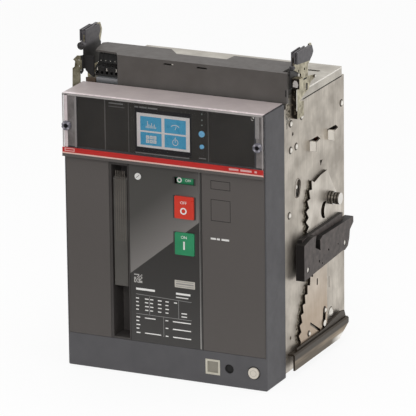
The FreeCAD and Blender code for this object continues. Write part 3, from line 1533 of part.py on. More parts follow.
# State flag: a curved plate that shows open or closed in the window
def state_flag():
    left = push_button_x - 12.0
    right = push_button_x + 12.0
    shell = rod_x(flag_radius, left, right, flag_y, state_window_z)
    shell = shell.cut(rod_x(flag_radius - 1.2, left + 1.2, right - 1.2, flag_y, state_window_z))
    sector = [(flag_y, state_window_z), (flag_y - 16, state_window_z - 8), (flag_y - 16, state_window_z + 20),
              (flag_y + 1, state_window_z + 20)]
    keep = side_profile(sector, left - 1, right + 1)
    axle = rod_x(flag_axle_radius, frame_left - 1.5, frame_right + 1.5, flag_y, state_window_z)
    hub = rod_x(3.6, left, right, flag_y, state_window_z)
    return join([shell.common(keep), hub, axle])


save("state_flag", state_flag())

# Ratchet shaft with its toothed wheel, and the closing spring beside it
ratchet_teeth = 20
ratchet_radius = 26.0


def ratchet_wheel():
    points = []
    for index in range(ratchet_teeth):
        tip = math.radians(360.0 * index / ratchet_teeth)
        root = math.radians(360.0 * (index + 0.15) / ratchet_teeth)
        points.append((ratchet_y + ratchet_radius * math.cos(tip), ratchet_z + ratchet_radius * math.sin(tip)))
        points.append((ratchet_y + (ratchet_radius - 4) * math.cos(root),
                       ratchet_z + (ratchet_radius - 4) * math.sin(root)))
    wheel = side_profile(points, frame_left + 8, frame_left + 14)
    shaft = rod_x(ratchet_shaft_radius, frame_left - 3, frame_right + 3, ratchet_y, ratchet_z)
    cam = rod_x(16.0, 20.0, 32.0, ratchet_y + 5, ratchet_z)
    return join([wheel, shaft, cam])


save("ratchet_wheel", ratchet_wheel())


def closing_spring():
    height = spring_high - spring_low - 2 * spring_wire
    helix = Part.makeHelix(height / spring_turns, height, spring_radius)
    section = Part.Wire(Part.makeCircle(spring_wire, Vector(spring_radius, 0, 0), Vector(0, 1, 0)))
    coil = Part.Wire(helix.Edges).makePipeShell([section], True, True)
    coil.translate(Vector(spring_x, spring_y, spring_low + spring_wire))
    return coil


save("closing_spring", closing_spring())

# Trip and closing coils behind the push buttons
coil_radius = 9.0
coil_places = [-24.0, 4.0]
coil_y = -110.0
coil_low = 110.0
coil_high = 140.0
yoke_half = 11.0
yoke_foot = 4.0
yoke_cap = 3.0


def release_coils():
    coils = []
    front = coil_y - yoke_half
    back = coil_y + yoke_half
    for x in coil_places:
        left = x - yoke_half
        right = x + yoke_half
        body = rod_z(coil_radius, coil_low, coil_high, x, coil_y)
        yoke = block(left, right, front, back, coil_low - yoke_foot, coil_low)
        top = block(left, right, front, back, coil_high, coil_high + yoke_cap)
        plunger = rod_z(2.5, coil_high + yoke_cap, coil_high + yoke_cap + 7, x, coil_y)
        foot = block(left, right, back, case_front_y - frame_sheet, coil_low - yoke_foot, coil_low - 0.1)
        coils.append(join([body, yoke, top, plunger, foot]))
    return Part.makeCompound(coils)


save("release_coils", release_coils())
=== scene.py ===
import math

import bmesh
import bpy
from mathutils import Matrix, Vector


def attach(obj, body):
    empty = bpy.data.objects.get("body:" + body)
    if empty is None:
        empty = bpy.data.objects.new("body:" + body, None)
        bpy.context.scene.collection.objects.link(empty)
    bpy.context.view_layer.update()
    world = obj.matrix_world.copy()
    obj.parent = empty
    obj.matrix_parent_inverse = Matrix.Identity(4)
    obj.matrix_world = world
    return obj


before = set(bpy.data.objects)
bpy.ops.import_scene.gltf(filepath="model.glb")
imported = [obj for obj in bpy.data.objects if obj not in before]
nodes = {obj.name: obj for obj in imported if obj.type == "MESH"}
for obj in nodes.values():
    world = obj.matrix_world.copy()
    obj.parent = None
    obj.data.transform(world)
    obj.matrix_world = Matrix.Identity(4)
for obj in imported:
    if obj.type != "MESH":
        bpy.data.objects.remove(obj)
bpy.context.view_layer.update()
bpy.context.scene.view_settings.view_transform = "Standard"
mm = 0.001

# The stage: a wide pale floor under an even white studio. The floor glows a little
# towards the lens so that it looks white, and still takes the shadow of the cradle.
floor_reach = 14.0
floor_drop = 0.2 * mm
floor_glow = 0.9

floor_mesh = bpy.data.meshes.new("floor")
floor_corners = [(-floor_reach, -floor_reach, -floor_drop), (floor_reach, -floor_reach, -floor_drop),
                 (floor_reach, floor_reach, -floor_drop), (-floor_reach, floor_reach, -floor_drop)]
floor_mesh.from_pydata(floor_corners, [], [(0, 1, 2, 3)])
floor = bpy.data.objects.new("floor", floor_mesh)
bpy.context.collection.objects.link(floor)


def seen_directly(tree):
    """1 where the lens, a mirror or clear plastic looks straight at this surface, else 0."""
    path = tree.nodes.new("ShaderNodeLightPath")
    reflected = tree.nodes.new("ShaderNodeMath")
    reflected.operation = "MAXIMUM"
    either = tree.nodes.new("ShaderNodeMath")
    either.operation = "MAXIMUM"
    tree.links.new(path.outputs["Is Glossy Ray"], reflected.inputs[0])
    tree.links.new(path.outputs["Is Transmission Ray"], reflected.inputs[1])
    tree.links.new(path.outputs["Is Camera Ray"], either.inputs[0])
    tree.links.new(reflected.outputs["Value"], either.inputs[1])
    return either.outputs["Value"]


floor_finish = bpy.data.materials.new("floor_paper")
floor_finish.use_nodes = True
floor_tree = floor_finish.node_tree
paper = floor_tree.nodes["Principled BSDF"]
paper.inputs["Base Color"].default_value = (0.94, 0.94, 0.94, 1)
paper.inputs["Roughness"].default_value = 0.9
glow = floor_tree.nodes.new("ShaderNodeEmission")
glow.inputs["Color"].default_value = (1, 1, 1, 1)
glow_share = floor_tree.nodes.new("ShaderNodeMath")
glow_share.operation = "MULTIPLY"
glow_share.inputs[1].default_value = floor_glow
floor_mix = floor_tree.nodes.new("ShaderNodeMixShader")
floor_tree.links.new(seen_directly(floor_tree), glow_share.inputs[0])
floor_tree.links.new(glow_share.outputs["Value"], floor_mix.inputs["Fac"])
floor_tree.links.new(paper.outputs["BSDF"], floor_mix.inputs[1])
floor_tree.links.new(glow.outputs["Emission"], floor_mix.inputs[2])
floor_tree.links.new(floor_mix.outputs["Shader"], floor_tree.nodes["Material Output"].inputs["Surface"])
floor_mesh.materials.append(floor_finish)

# A black card lies on the floor in front and shows in reflections alone. Glossy upright
# faces mirror that stretch of floor, so the card keeps the dark panels dark.
card_corners = [(-3.0, -4.0), (2.0, -4.0), (2.0, -0.42), (-3.0, -0.42)]
card_height = 0.6 * mm

card_mesh = bpy.data.meshes.new("black_card")
card_mesh.from_pydata([(x, y, card_height) for x, y in card_corners], [], [(0, 1, 2, 3)])
card_finish = bpy.data.materials.new("black_card")
card_finish.use_nodes = True
card_finish.node_tree.nodes["Principled BSDF"].inputs["Base Color"].default_value = (0.02, 0.02, 0.02, 1)
card_finish.node_tree.nodes["Principled BSDF"].inputs["Roughness"].default_value = 0.95
card_mesh.materials.append(card_finish)
card = bpy.data.objects.new("black_card", card_mesh)
card.visible_camera = False
card.visible_shadow = False
bpy.context.collection.objects.link(card)

# The studio air: dim behind the lens and bright behind and over the object, so that
# plating and clear plastic pick up a pale backdrop and black mouldings stay black.
air_front = 0.3
air_back = 0.95

world = bpy.data.worlds.new("studio")
bpy.context.scene.world = world
world.use_nodes = True
air = world.node_tree
place = air.nodes.new("ShaderNodeTexCoord")
parts = air.nodes.new("ShaderNodeSeparateXYZ")
depth = air.nodes.new("ShaderNodeMapRange")
depth.inputs["From Min"].default_value = -1
depth.inputs["From Max"].default_value = 1
depth.inputs["To Min"].default_value = air_front
depth.inputs["To Max"].default_value = air_back
path = air.nodes.new("ShaderNodeLightPath")
brighter = air.nodes.new("ShaderNodeMath")
brighter.operation = "MAXIMUM"
air.links.new(place.outputs["Generated"], parts.inputs["Vector"])
air.links.new(parts.outputs["Y"], depth.inputs["Value"])
air.links.new(path.outputs["Is Camera Ray"], brighter.inputs[0])
air.links.new(depth.outputs["Result"], brighter.inputs[1])
air.links.new(brighter.outputs["Value"], air.nodes["Background"].inputs["Strength"])
air.nodes["Background"].inputs["Color"].default_value = (1, 1, 1, 1)


# The lamps: a broad soft box over the top, one at the front right and a weak one on the
# right, all turned to the middle of the cradle.
lamp_aim = Vector((0, 0, 0.22))


def soft_box(name, place, width, height, power):
    lamp = bpy.data.lights.new(name, "AREA")
    lamp.shape = "RECTANGLE"
    lamp.size = width
    lamp.size_y = height
    lamp.energy = power
    holder = bpy.data.objects.new(name, lamp)
    holder.location = place
    aim = lamp_aim - Vector(place)
    holder.rotation_euler = aim.to_track_quat("-Z", "Y").to_euler()
    bpy.context.collection.objects.link(holder)


soft_box("top_soft_box", (0.1, -0.2, 2.3), 1.6, 1.6, 13)
soft_box("front_soft_box", (0.8, -2.2, 1.2), 1.2, 1.4, 22)
soft_box("right_soft_box", (2.1, 0.1, 1.0), 0.9, 1.4, 1)

# The camera: a long lens to the right of the front and a little above it, so far away that
# the upright edges stay nearly parallel.
view_yaw = math.radians(25.30)
view_pitch = math.radians(16.87)
view_roll = math.radians(-0.67)
view_distance = 5907 * mm
view_target = Vector((63.6, -162.0, 247.6)) * mm
lens_length = 386.3

backward = Vector((math.sin(view_yaw) * math.cos(view_pitch), -math.cos(view_yaw) * math.cos(view_pitch),
                   math.sin(view_pitch)))
level = Vector((math.cos(view_yaw), math.sin(view_yaw), 0))
upward = backward.cross(level)
camera_right = level * math.cos(view_roll) + upward * math.sin(view_roll)
camera_up = upward * math.cos(view_roll) - level * math.sin(view_roll)
lens = bpy.data.cameras.new("camera")
lens.lens = lens_length
lens.clip_end = 60
camera = bpy.data.objects.new("camera", lens)
facing = Matrix((camera_right, camera_up, backward)).transposed()
camera.matrix_world = Matrix.Translation(view_target + backward * view_distance) @ facing.to_4x4()
bpy.context.collection.objects.link(camera)
bpy.context.scene.camera = camera

# Cradle sheets: side plates, top plate, base tray, guide channels and slide rails, all
# cut and folded from zinc-plated steel, with cloudy plating and faint rolling lines.
rolled_zinc_light = (208, 200, 188)
rolled_zinc_dark = (160, 152, 141)


def paint(colour):
    """The colour as it is seen, in steps of 255, turned into light values."""
    return tuple(((step / 255 + 0.055) / 1.055) ** 2.4 for step in colour) + (1,)


class Finish:
    """A finish whose pattern is laid out in metres on the part itself."""

    def __init__(self, name, roughness, metal=0.0):
        self.material = bpy.data.materials.new(name)
        self.material.use_nodes = True
        self.tree = self.material.node_tree
        self.shader = self.tree.nodes["Principled BSDF"]
        self.shader.inputs["Roughness"].default_value = roughness
        self.shader.inputs["Metallic"].default_value = metal
        self.place = self.tree.nodes.new("ShaderNodeTexCoord").outputs["Object"]

    def cloud(self, size, stretch=(1, 1, 1), detail=3.0):
        """Uneven patches about size millimetres across, drawn out along an axis by a small stretch."""
        spread = self.tree.nodes.new("ShaderNodeMapping")
        spread.inputs["Scale"].default_value = stretch
        noise = self.tree.nodes.new("ShaderNodeTexNoise")
        noise.inputs["Scale"].default_value = 1 / (size * mm)
        noise.inputs["Detail"].default_value = detail
        self.tree.links.new(self.place, spread.inputs["Vector"])
        self.tree.links.new(spread.outputs["Vector"], noise.inputs["Vector"])
        return noise.outputs["Fac"]

    def one_axis(self, value, axis):
        """The share of a place or a direction along one axis."""
        split = self.tree.nodes.new("ShaderNodeSeparateXYZ")
        self.tree.links.new(value, split.inputs["Vector"])
        return split.outputs[axis]

    def facing(self, axis):
        """How squarely the surface faces along an axis of the part, 1 towards it and -1 away."""
        return self.one_axis(self.tree.nodes.new("ShaderNodeTexCoord").outputs["Normal"], axis)

    def vector_step(self, operation, value, amount=(0, 0, 0)):
        """One vector sum on a pattern's place, its amount in metres."""
        step = self.tree.nodes.new("ShaderNodeVectorMath")
        step.operation = operation
        step.inputs[1].default_value = amount
        self.tree.links.new(value, step.inputs[0])
        return step.outputs["Value"] if operation == "LENGTH" else step.outputs["Vector"]

    def along(self, axis):
        """The place along one axis, in metres."""
        return self.one_axis(self.place, axis)

    def worked_out(self, operation, *terms):
        """One step of arithmetic on pattern values and plain numbers."""
        step = self.tree.nodes.new("ShaderNodeMath")
        step.operation = operation
        for socket, term in zip(step.inputs, terms):
            if isinstance(term, (int, float)):
                socket.default_value = term
            else:
                self.tree.links.new(term, socket)
        return step.outputs["Value"]

    def size_of(self, value):
        """A value without its sign."""
        return self.worked_out("ABSOLUTE", value)

    def rings(self, axis, scale, distortion=0.0):
        """Even rings or windings, one after the other along an axis."""
        wave = self.tree.nodes.new("ShaderNodeTexWave")
        wave.bands_direction = axis
        wave.inputs["Scale"].default_value = scale
        wave.inputs["Distortion"].default_value = distortion
        self.tree.links.new(self.place, wave.inputs["Vector"])
        return wave.outputs["Fac"]

    def between(self, value, low=0, high=1, start=0.3, end=0.7):
        """Spread a pattern value over a new range."""
        reach = self.tree.nodes.new("ShaderNodeMapRange")
        reach.inputs["From Min"].default_value = start
        reach.inputs["From Max"].default_value = end
        reach.inputs["To Min"].default_value = low
        reach.inputs["To Max"].default_value = high
        self.tree.links.new(value, reach.inputs["Value"])
        return reach.outputs["Result"]

    def blend(self, value, first, second):
        """One colour turning into another by a pattern value from 0 to 1."""
        mix = self.tree.nodes.new("ShaderNodeMix")
        mix.data_type = "RGBA"
        self.tree.links.new(value, mix.inputs["Factor"])
        for socket, colour in ((mix.inputs["A"], first), (mix.inputs["B"], second)):
            if isinstance(colour, tuple):
                socket.default_value = paint(colour)
            else:
                self.tree.links.new(colour, socket)
        return mix.outputs["Result"]

    def clouded(self, size, first, second, stretch=(1, 1, 1), detail=3.0, start=0.3, end=0.7):
        """A first colour with clouds of a second one in it."""
        share = self.between(self.cloud(size, stretch, detail), start=start, end=end)
        return self.blend(share, first, second)

    def colour(self, value):
        """The colour of the surface."""
        self.tree.links.new(value, self.shader.inputs["Base Color"])

    def sheen_patches(self, value):
        """How dull the surface is from place to place."""
        self.tree.links.new(value, self.shader.inputs["Roughness"])

    def relief(self, value, depth):
        """Tiny hills and hollows, depth millimetres deep."""
        bump = self.tree.nodes.new("ShaderNodeBump")
        bump.inputs["Distance"].default_value = depth * mm
        self.tree.links.new(value, bump.inputs["Height"])
        self.tree.links.new(bump.outputs["Normal"], self.shader.inputs["Normal"])

    def put_on(self, *names):
        """Give the finish to whole pieces of the frame."""
        for name in names:
            mesh = nodes[name].data
            mesh.materials.clear()
            mesh.materials.append(self.material)


def plated_steel(name, light, dark, grain=(1, 1, 0.04), edge_shade=None, film_tone=None, film_top=0.0):
    """Plating with clouds, rolling lines along the small axis of grain and a fine crystal relief.

    The edge colour is painted shade, laid on the faces of an upright sheet that do not face aside,
    such as its cut edges, and film_tone is that of old grease, which thins out towards the height film_top.
    """
    plate = Finish(name, 0.4, metal=0.88)
    lines = plate.cloud(1.6, grain)
    base = plate.clouded(28, dark, light)
    surface = plate.blend(plate.between(lines, 0.0, 0.35), base, dark)
    if film_tone:
        bare = plate.between(plate.along("Z"), 0.35, 1, start=0.4 * film_top * mm, end=film_top * mm)
        surface = plate.blend(bare, film_tone, surface)
    if edge_shade:
        flat = plate.between(plate.size_of(plate.facing("X")), start=0.4, end=0.6)
        surface = plate.blend(flat, edge_shade, surface)
    plate.colour(surface)
    plate.sheen_patches(plate.between(lines, 0.33, 0.5))
    plate.relief(plate.cloud(0.9), 0.03)
    return plate


rolled_zinc = plated_steel("rolled_zinc", rolled_zinc_light, rolled_zinc_dark)
rolled_zinc.put_on("left_side_plate", "right_side_plate", "base_plate", "guide_channels", "shutter_guides")
top_zinc = plated_steel("top_zinc", (208, 203, 192), (170, 164, 154), grain=(0.04, 1, 1))
top_zinc.put_on("top_plate")
rail_zinc = plated_steel("rail_zinc", (190, 186, 178), (140, 135, 126), grain=(1, 0.04, 1))
rail_zinc.put_on("left_slide_rail", "right_slide_rail", "breaker_side_plates", "racking_carrier",
                 "mechanism_frame")

# Toothed plates and foot rails: thicker pressed steel, rolled along the cradle, with the faces that do
# not face aside painted dark, on the toothed plates as painted shade. The rails are brown with the grease
# that is left on them, with a painted shadow along the upper groove and a painted highlight on the lip
# towards the rear.
rail_groove_height = 23.5
rail_lip_height = 16.5
lip_highlight_from = 30.0
lip_highlight_to = 56.0

# The toothed plates' edges carry painted shade in the dark edge colour.
toothed_zinc = plated_steel("toothed_zinc", (230, 223, 212), (182, 174, 163), grain=(1, 1, 0.03),
                            edge_shade=(58, 51, 44), film_tone=(176, 152, 126), film_top=170)
toothed_zinc.put_on("toothed_plates")
greased_steel = Finish("greased_steel", 0.42, metal=0.7)
rust_streaks = greased_steel.clouded(5, (98, 86, 70), (166, 150, 128), stretch=(1, 0.06, 1))
# The upper groove is painted dark as a painted shadow under the ridge.
groove_shadow = greased_steel.between(greased_steel.along("Z"), start=(rail_groove_height - 1) * mm,
                                     end=(rail_groove_height + 1) * mm)
rail_face = greased_steel.blend(groove_shadow, rust_streaks, (66, 58, 48))
# Towards the rear the lip is painted almost white as a painted highlight.
to_the_rear = greased_steel.between(greased_steel.along("Y"), start=lip_highlight_from * mm, end=lip_highlight_to * mm)
lip_highlight = greased_steel.blend(to_the_rear, (96, 86, 71), (240, 237, 230))
over_lip = greased_steel.between(greased_steel.along("Z"), start=(rail_lip_height - 1) * mm,
                                 end=(rail_lip_height + 1) * mm)
rail_face = greased_steel.blend(over_lip, lip_highlight, rail_face)
# Faces that do not face aside are painted dark.
rail_flat = greased_steel.between(greased_steel.size_of(greased_steel.facing("X")), start=0.4, end=0.6)
greased_steel.colour(greased_steel.blend(rail_flat, (64, 56, 47), rail_face))
greased_steel.relief(greased_steel.cloud(1.5, (1, 0.1, 1)), 0.06)
greased_steel.put_on("foot_rails")

# Rivets and guide rollers: bright steel. The rivets are cold-headed and set from outside,
# and their domed heads are painted dark round the rim as painted shade.
bright_steel = Finish("bright_steel", 0.2, metal=1.0)
bright_steel.colour(bright_steel.clouded(3, (226, 223, 216), (188, 184, 176)))
bright_steel.relief(bright_steel.cloud(1.2), 0.02)
bright_steel.put_on("guide_rollers")
rivet_steel = Finish("rivet_steel", 0.3, metal=0.55)
rivet_clouds = rivet_steel.clouded(3, (246, 242, 234), (220, 215, 205))
crown = rivet_steel.between(rivet_steel.size_of(rivet_steel.facing("X")), start=0.58, end=0.76)
rivet_steel.colour(rivet_steel.blend(crown, (86, 77, 67), rivet_clouds))
rivet_steel.relief(rivet_steel.cloud(1.2), 0.02)
rivet_steel.put_on("cradle_rivets")

# Stub shafts and turned steel inside: fine rings from the lathe run round each shaft. The stub
# shafts have coarse grooves painted darker than the steel between them as painted shade, and end
# faces painted bright as a painted highlight.
turned_steel = Finish("turned_steel", 0.28, metal=1.0)
turned_steel.colour(turned_steel.clouded(9, (206, 203, 198), (164, 160, 154)))
turned_steel.relief(turned_steel.rings("X", 420, distortion=0.4), 0.02)
turned_steel.put_on("main_shaft", "ratchet_wheel", "racking_screw", "connecting_rods", "closing_spring")
stub_steel = Finish("stub_steel", 0.3, metal=0.8)
stub_rings = stub_steel.rings("X", 75)
ring_shade = stub_steel.blend(stub_steel.between(stub_rings), (50, 46, 41), (118, 113, 106))
lit_end_faces = stub_steel.between(stub_steel.size_of(stub_steel.facing("X")), start=0.8, end=0.9)
stub_steel.colour(stub_steel.blend(lit_end_faces, ring_shade, (224, 220, 214)))
stub_steel.relief(stub_rings, 0.2)
stub_steel.put_on("stub_shafts")


# Rear wall, casing halves, arc chutes and shutters: moulded thermoset and pressed board with
# a dull, slightly pitted skin. The shutters are red-brown.
def moulding(name, light, dark, roughness, pit=0.04, pit_size=0.8, gloss=0.5):
    """Moulded plastic: faint clouds in the colour and the spark texture of the mould."""
    body = Finish(name, roughness)
    body.shader.inputs["Specular IOR Level"].default_value = gloss
    body.colour(body.clouded(22, dark, light))
    body.sheen_patches(body.between(body.cloud(9), roughness - 0.05, roughness + 0.06))
    body.relief(body.cloud(pit_size, detail=2.0), pit)
    return body


moulding("rear_thermoset", (74, 66, 60), (62, 55, 50), 0.62).put_on("rear_wall")
moulding("case_thermoset", (92, 90, 88), (80, 78, 76), 0.6).put_on("pole_case_front", "pole_case_rear")
moulding("chute_board", (176, 166, 148), (156, 146, 130), 0.8, pit=0.08).put_on("arc_chutes")
moulding("shutter_board", (142, 74, 52), (122, 62, 44), 0.5).put_on("upper_shutter", "lower_shutter")

# Copper: silver-plated terminals and jaws, with warm patches where the plating is thin. The
# release coils are wound from enamelled wire, turn beside turn.
silvered_copper = Finish("silvered_copper", 0.3, metal=1.0)
silvered_copper.colour(silvered_copper.clouded(16, (214, 206, 194), (206, 172, 146), start=0.45, end=0.75))
silvered_copper.sheen_patches(silvered_copper.between(silvered_copper.cloud(1.5, (0.05, 1, 1)), 0.24, 0.42))
silvered_copper.relief(silvered_copper.cloud(0.8, (0.05, 1, 1)), 0.02)
silvered_copper.put_on("upper_terminals", "lower_terminals", "upper_jaws", "lower_jaws", "moving_contacts")
coil_wire = Finish("coil_wire", 0.35, metal=0.6)
windings = coil_wire.rings("Z", 300)
coil_wire.colour(coil_wire.blend(windings, (120, 58, 30), (176, 96, 52)))
coil_wire.relief(windings, 0.15)
coil_wire.put_on("release_coils")

# Terminal box: one grey moulded cover with a dull skin, clipped over the wiring that runs
# along the top of the cradle.
moulding("box_moulding", (98, 94, 91), (91, 87, 84), 0.5, gloss=0.2).put_on("terminal_box")

# Terminal blocks: black polyamide mouldings, snapped side by side onto a rail of light
# alloy at the left end of the terminal box.
moulding("black_polyamide", (32, 30, 29), (22, 21, 20), 0.5).put_on("terminal_blocks")
rail_alloy = plated_steel("rail_alloy", (196, 198, 200), (160, 162, 165), grain=(0.03, 1, 1))
rail_alloy.put_on("terminal_rail")

# Clip brackets and wiring clips: folded steel with a patchy yellow passivation whose dark and bright
# mottling is partly painted shade and painted highlight, and painted shade on the faces of the right one
# that look to the front; they carry grey moulded wire holders, black at the foot.
clip_foot_height = 430.0

yellow_zinc = Finish("yellow_zinc", 0.36, metal=0.7)
passivation_and_glints = yellow_zinc.clouded(9, (118, 109, 86), (204, 196, 170), detail=4.0)
dark_specks = yellow_zinc.between(yellow_zinc.cloud(3.4), 0, 0.5, start=0.58, end=0.66)
passivation_and_glints = yellow_zinc.blend(dark_specks, passivation_and_glints, (92, 82, 66))
# The right bracket's front-facing faces are painted dark as painted shade.
on_the_right = yellow_zinc.between(yellow_zinc.along("X"), start=-0.001, end=0.001)
to_the_front = yellow_zinc.between(yellow_zinc.facing("Y"), 1, 0, start=-0.7, end=-0.4)
right_front = yellow_zinc.worked_out("MULTIPLY", on_the_right, to_the_front)
front_shade = yellow_zinc.clouded(4, (46, 40, 35), (118, 108, 94), start=0.56, end=0.64)
yellow_zinc.colour(yellow_zinc.blend(right_front, passivation_and_glints, front_shade))
yellow_zinc.relief(yellow_zinc.cloud(1.2), 0.05)
yellow_zinc.put_on("clip_brackets")
clip_moulding = Finish("clip_moulding", 0.5)
clip_tone = clip_moulding.clouded(6, (72, 69, 72), (92, 89, 91))
upper_half = clip_moulding.between(clip_moulding.along("Z"), start=(clip_foot_height - 3) * mm,
                                   end=(clip_foot_height + 3) * mm)
clip_moulding.colour(clip_moulding.blend(upper_half, (36, 34, 34), clip_tone))
clip_moulding.relief(clip_moulding.cloud(0.8), 0.04)
clip_moulding.put_on("wiring_clips")

# Position contacts: a glossy black moulding, held to the right toothed plate by two
# pins whose heads sit in shallow seats, painted pale all over as a painted highlight.
pin_seats = [(-60.0, 144.0), (64.0, 147.0)]
pin_face = 163.0
pin_radius = 3.5


def add_piece(name, shape, finish, body):
    """Turn a finished shape into a named piece that rides with a body of the frame."""
    bmesh.ops.recalc_face_normals(shape, faces=shape.faces)
    data = bpy.data.meshes.new(name)
    shape.to_mesh(data)
    shape.free()
    data.materials.append(finish.material)
    thing = bpy.data.objects.new(name, data)
    bpy.context.collection.objects.link(thing)
    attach(thing, body)


def turned(shape, profile, centre, towards, steps=24):
    """Add a turned form: points of radius and height, swept round a line from centre to one side."""
    turn = Vector(towards).to_track_quat("Z", "Y").to_matrix()
    rings = []
    for radius, height in profile:
        ring = []
        for step in range(steps):
            angle = 2 * math.pi * step / steps
            spot = turn @ Vector((radius * math.cos(angle), radius * math.sin(angle), height))
            ring.append(shape.verts.new((Vector(centre) + spot) * mm))
        rings.append(ring)
    for low, high in zip(rings, rings[1:]):
        for step in range(steps):
            after = (step + 1) % steps
            shape.faces.new((low[step], low[after], high[after], high[step]))
    shape.faces.new(rings[0])
    shape.faces.new(rings[-1])


contact_moulding = Finish("contact_moulding", 0.5)
contact_moulding.shader.inputs["Specular IOR Level"].default_value = 0.25
# The block's face towards +X is painted lighter than the rest as painted light.
lit_side_tone = contact_moulding.clouded(8, (66, 59, 57), (92, 84, 80), detail=4.0)
lit_side_share = contact_moulding.between(contact_moulding.facing("X"), start=0.5, end=0.8)
contact_moulding.colour(contact_moulding.blend(lit_side_share, (30, 27, 26), lit_side_tone))
contact_moulding.relief(contact_moulding.cloud(0.8), 0.04)
contact_moulding.put_on("position_contact_block")
pale_pin = moulding("pale_pin", (226, 222, 212), (206, 200, 190), 0.35, pit=0.01)
pins = bmesh.new()
for y, z in pin_seats:
    turned(pins, [(pin_radius, -0.7), (pin_radius, 0.0), (pin_radius * 0.6, 0.5), (0.1, 0.6)],
           (pin_face - 0.8, y, z), (1, 0, 0))
add_piece("contact_block_pins", pins, pale_pin, "cradle")

# Front mask: one deep moulding in cool grey, with a fine spark-eroded skin. A black shutter
# closes the crank hole from behind, and a pale frame holds a frosted pane in the position window.
crank_centre = (92.2, 26.2)
crank_shutter_radius = 6.4
window_centre = (68.0, 26.0)
window_frame_half = 10.6
window_inside_half = 8.4
window_sleeve_depth = 6.0
release_centre = (128.5, 25.5)
release_ring_radius = 9.2


def cut_sheet(shape, outlines, level, thickness, facing="front"):
    """Add a thin sheet from closed outlines, an outline inside another being a hole in it.

    Facing front the points are (x, z), facing up (x, y) and facing aside (y, z).
    """
    place = {"front": lambda a, b, depth: (a, depth, b),
             "up": lambda a, b, depth: (a, b, depth),
             "aside": lambda a, b, depth: (depth, a, b)}[facing]
    edges = []
    for outline in outlines:
        corners = [shape.verts.new(Vector(place(a, b, level)) * mm) for a, b in outline]
        edges += [shape.edges.new((corners[i - 1], corners[i])) for i in range(len(corners))]
    filled = bmesh.ops.triangle_fill(shape, use_beauty=True, edges=edges)
    faces = [item for item in filled["geom"] if isinstance(item, bmesh.types.BMFace)]
    grown = bmesh.ops.extrude_face_region(shape, geom=faces, use_keep_orig=True)
    moved = [item for item in grown["geom"] if isinstance(item, bmesh.types.BMVert)]
    bmesh.ops.translate(shape, verts=moved, vec=Vector(place(0, 0, thickness)) * mm)


def flat_piece(name, finish, body, level, thickness, *sheets, slot=None, facing="front"):
    """A piece made of thin sheets at one level, each sheet given as a list of its outlines."""
    shape = bmesh.new()
    for outlines in sheets:
        cut_sheet(shape, outlines, level, thickness, facing)
    add_piece(name, shape, finish, body)


def oblong(left, right, low, high):
    return [(left, low), (right, low), (right, high), (left, high)]


def square(centre, half):
    return oblong(centre[0] - half, centre[0] + half, centre[1] - half, centre[1] + half)


def circle(centre, radius, steps=28):
    turns = [2 * math.pi * step / steps for step in range(steps)]
    return [(centre[0] + radius * math.cos(turn), centre[1] + radius * math.sin(turn)) for turn in turns]


def arc(centre, radius, start, end, steps=24):
    """Points along a circle between two angles in degrees."""
    turns = [math.radians(start + (end - start) * step / steps) for step in range(steps + 1)]
    return [(centre[0] + radius * math.cos(turn), centre[1] + radius * math.sin(turn)) for turn in turns]


mask_face = -162.0
mask_moulding = moulding("mask_moulding", (95, 94, 96), (90, 89, 91), 0.5, pit=0.02, pit_size=0.5, gloss=0.1)
mask_moulding.put_on("front_mask")
black_rubber = moulding("black_rubber", (16, 15, 14), (11, 10, 10), 0.8)
flat_piece("crank_hole_shutter", black_rubber, "breaker", mask_face + 2.0, 0.8,
           [circle(crank_centre, crank_shutter_radius)], slot="black_moulding")
flat_piece("release_button_ring", black_rubber, "breaker", mask_face - 0.15, 0.3,
           [circle(release_centre, release_ring_radius), circle(release_centre, 8.0)],
           slot="black_moulding")
frame_moulding = moulding("frame_moulding", (206, 201, 186), (188, 183, 168), 0.45, pit=0.01)
window_frame = bmesh.new()
window_edge = square(window_centre, window_inside_half)
cut_sheet(window_frame, [square(window_centre, window_frame_half), window_edge], mask_face - 0.3, 0.6)
cut_sheet(window_frame, [window_edge, square(window_centre, window_inside_half - 0.5)], mask_face - 0.3,
          window_sleeve_depth)
add_piece("position_window_frame", window_frame, frame_moulding, "breaker")
pane_finish = moulding("window_pane", (160, 155, 142), (148, 143, 131), 0.3, pit=0.005)
pane_finish.shader.inputs["Alpha"].default_value = 0.8
flat_piece("position_window_pane", pane_finish, "breaker", mask_face + 1.6, 0.3,
           [square(window_centre, window_inside_half - 0.6)])

# Ears: short bent-out tabs near the top of both side plates, their front faces covered with
# a painted highlight where the lamps catch them.
ear_fronts = [-15.6, 45.0]
ear_low = 296.2
ear_high = 310.3
ear_root = 146.6
ear_tip = 155.4

rubbed_steel = moulding("rubbed_steel", (250, 245, 236), (236, 230, 220), 0.3, pit=0.01)
ear_faces = bmesh.new()
for y in ear_fronts:
    cut_sheet(ear_faces, [oblong(ear_root, ear_tip, ear_low, ear_high)], y - 0.12, 0.1)
    cut_sheet(ear_faces, [oblong(-ear_tip, -ear_root, ear_low, ear_high)], y - 0.12, 0.1)
add_piece("ear_rubbed_faces", ear_faces, rubbed_steel, "cradle")

# Tooth shade: mottled painted shade lies on the side plate between the teeth of both sectors and
# a little ahead of their tips, and a painted shadow under the right bracket. The leaning slot
# has a brown rim of painted shade round it, with a board and a guide pin behind it.
side_face = 146.5
sectors = [((40.0, 205.0), 69.5, 81.0, 139.0, 212.0), ((58.3, 30.9), 116.0, 126.5, 126.0, 177.0)]
bracket_shadow = [(-94.0, 381.0), (-76.0, 377.0), (-78.0, 366.0), (-80.0, 352.0), (-91.0, 346.0),
                 (-94.0, 362.0)]
slot_middle = (-57.6, 256.0)
slot_half = 7.5
slot_length = 25.0
slot_lean = math.radians(14)


def ring_part(centre, inside, outside, start, end):
    """The outline of a part of a flat ring, between two angles in degrees."""
    return arc(centre, inside, start, end) + arc(centre, outside, end, start)


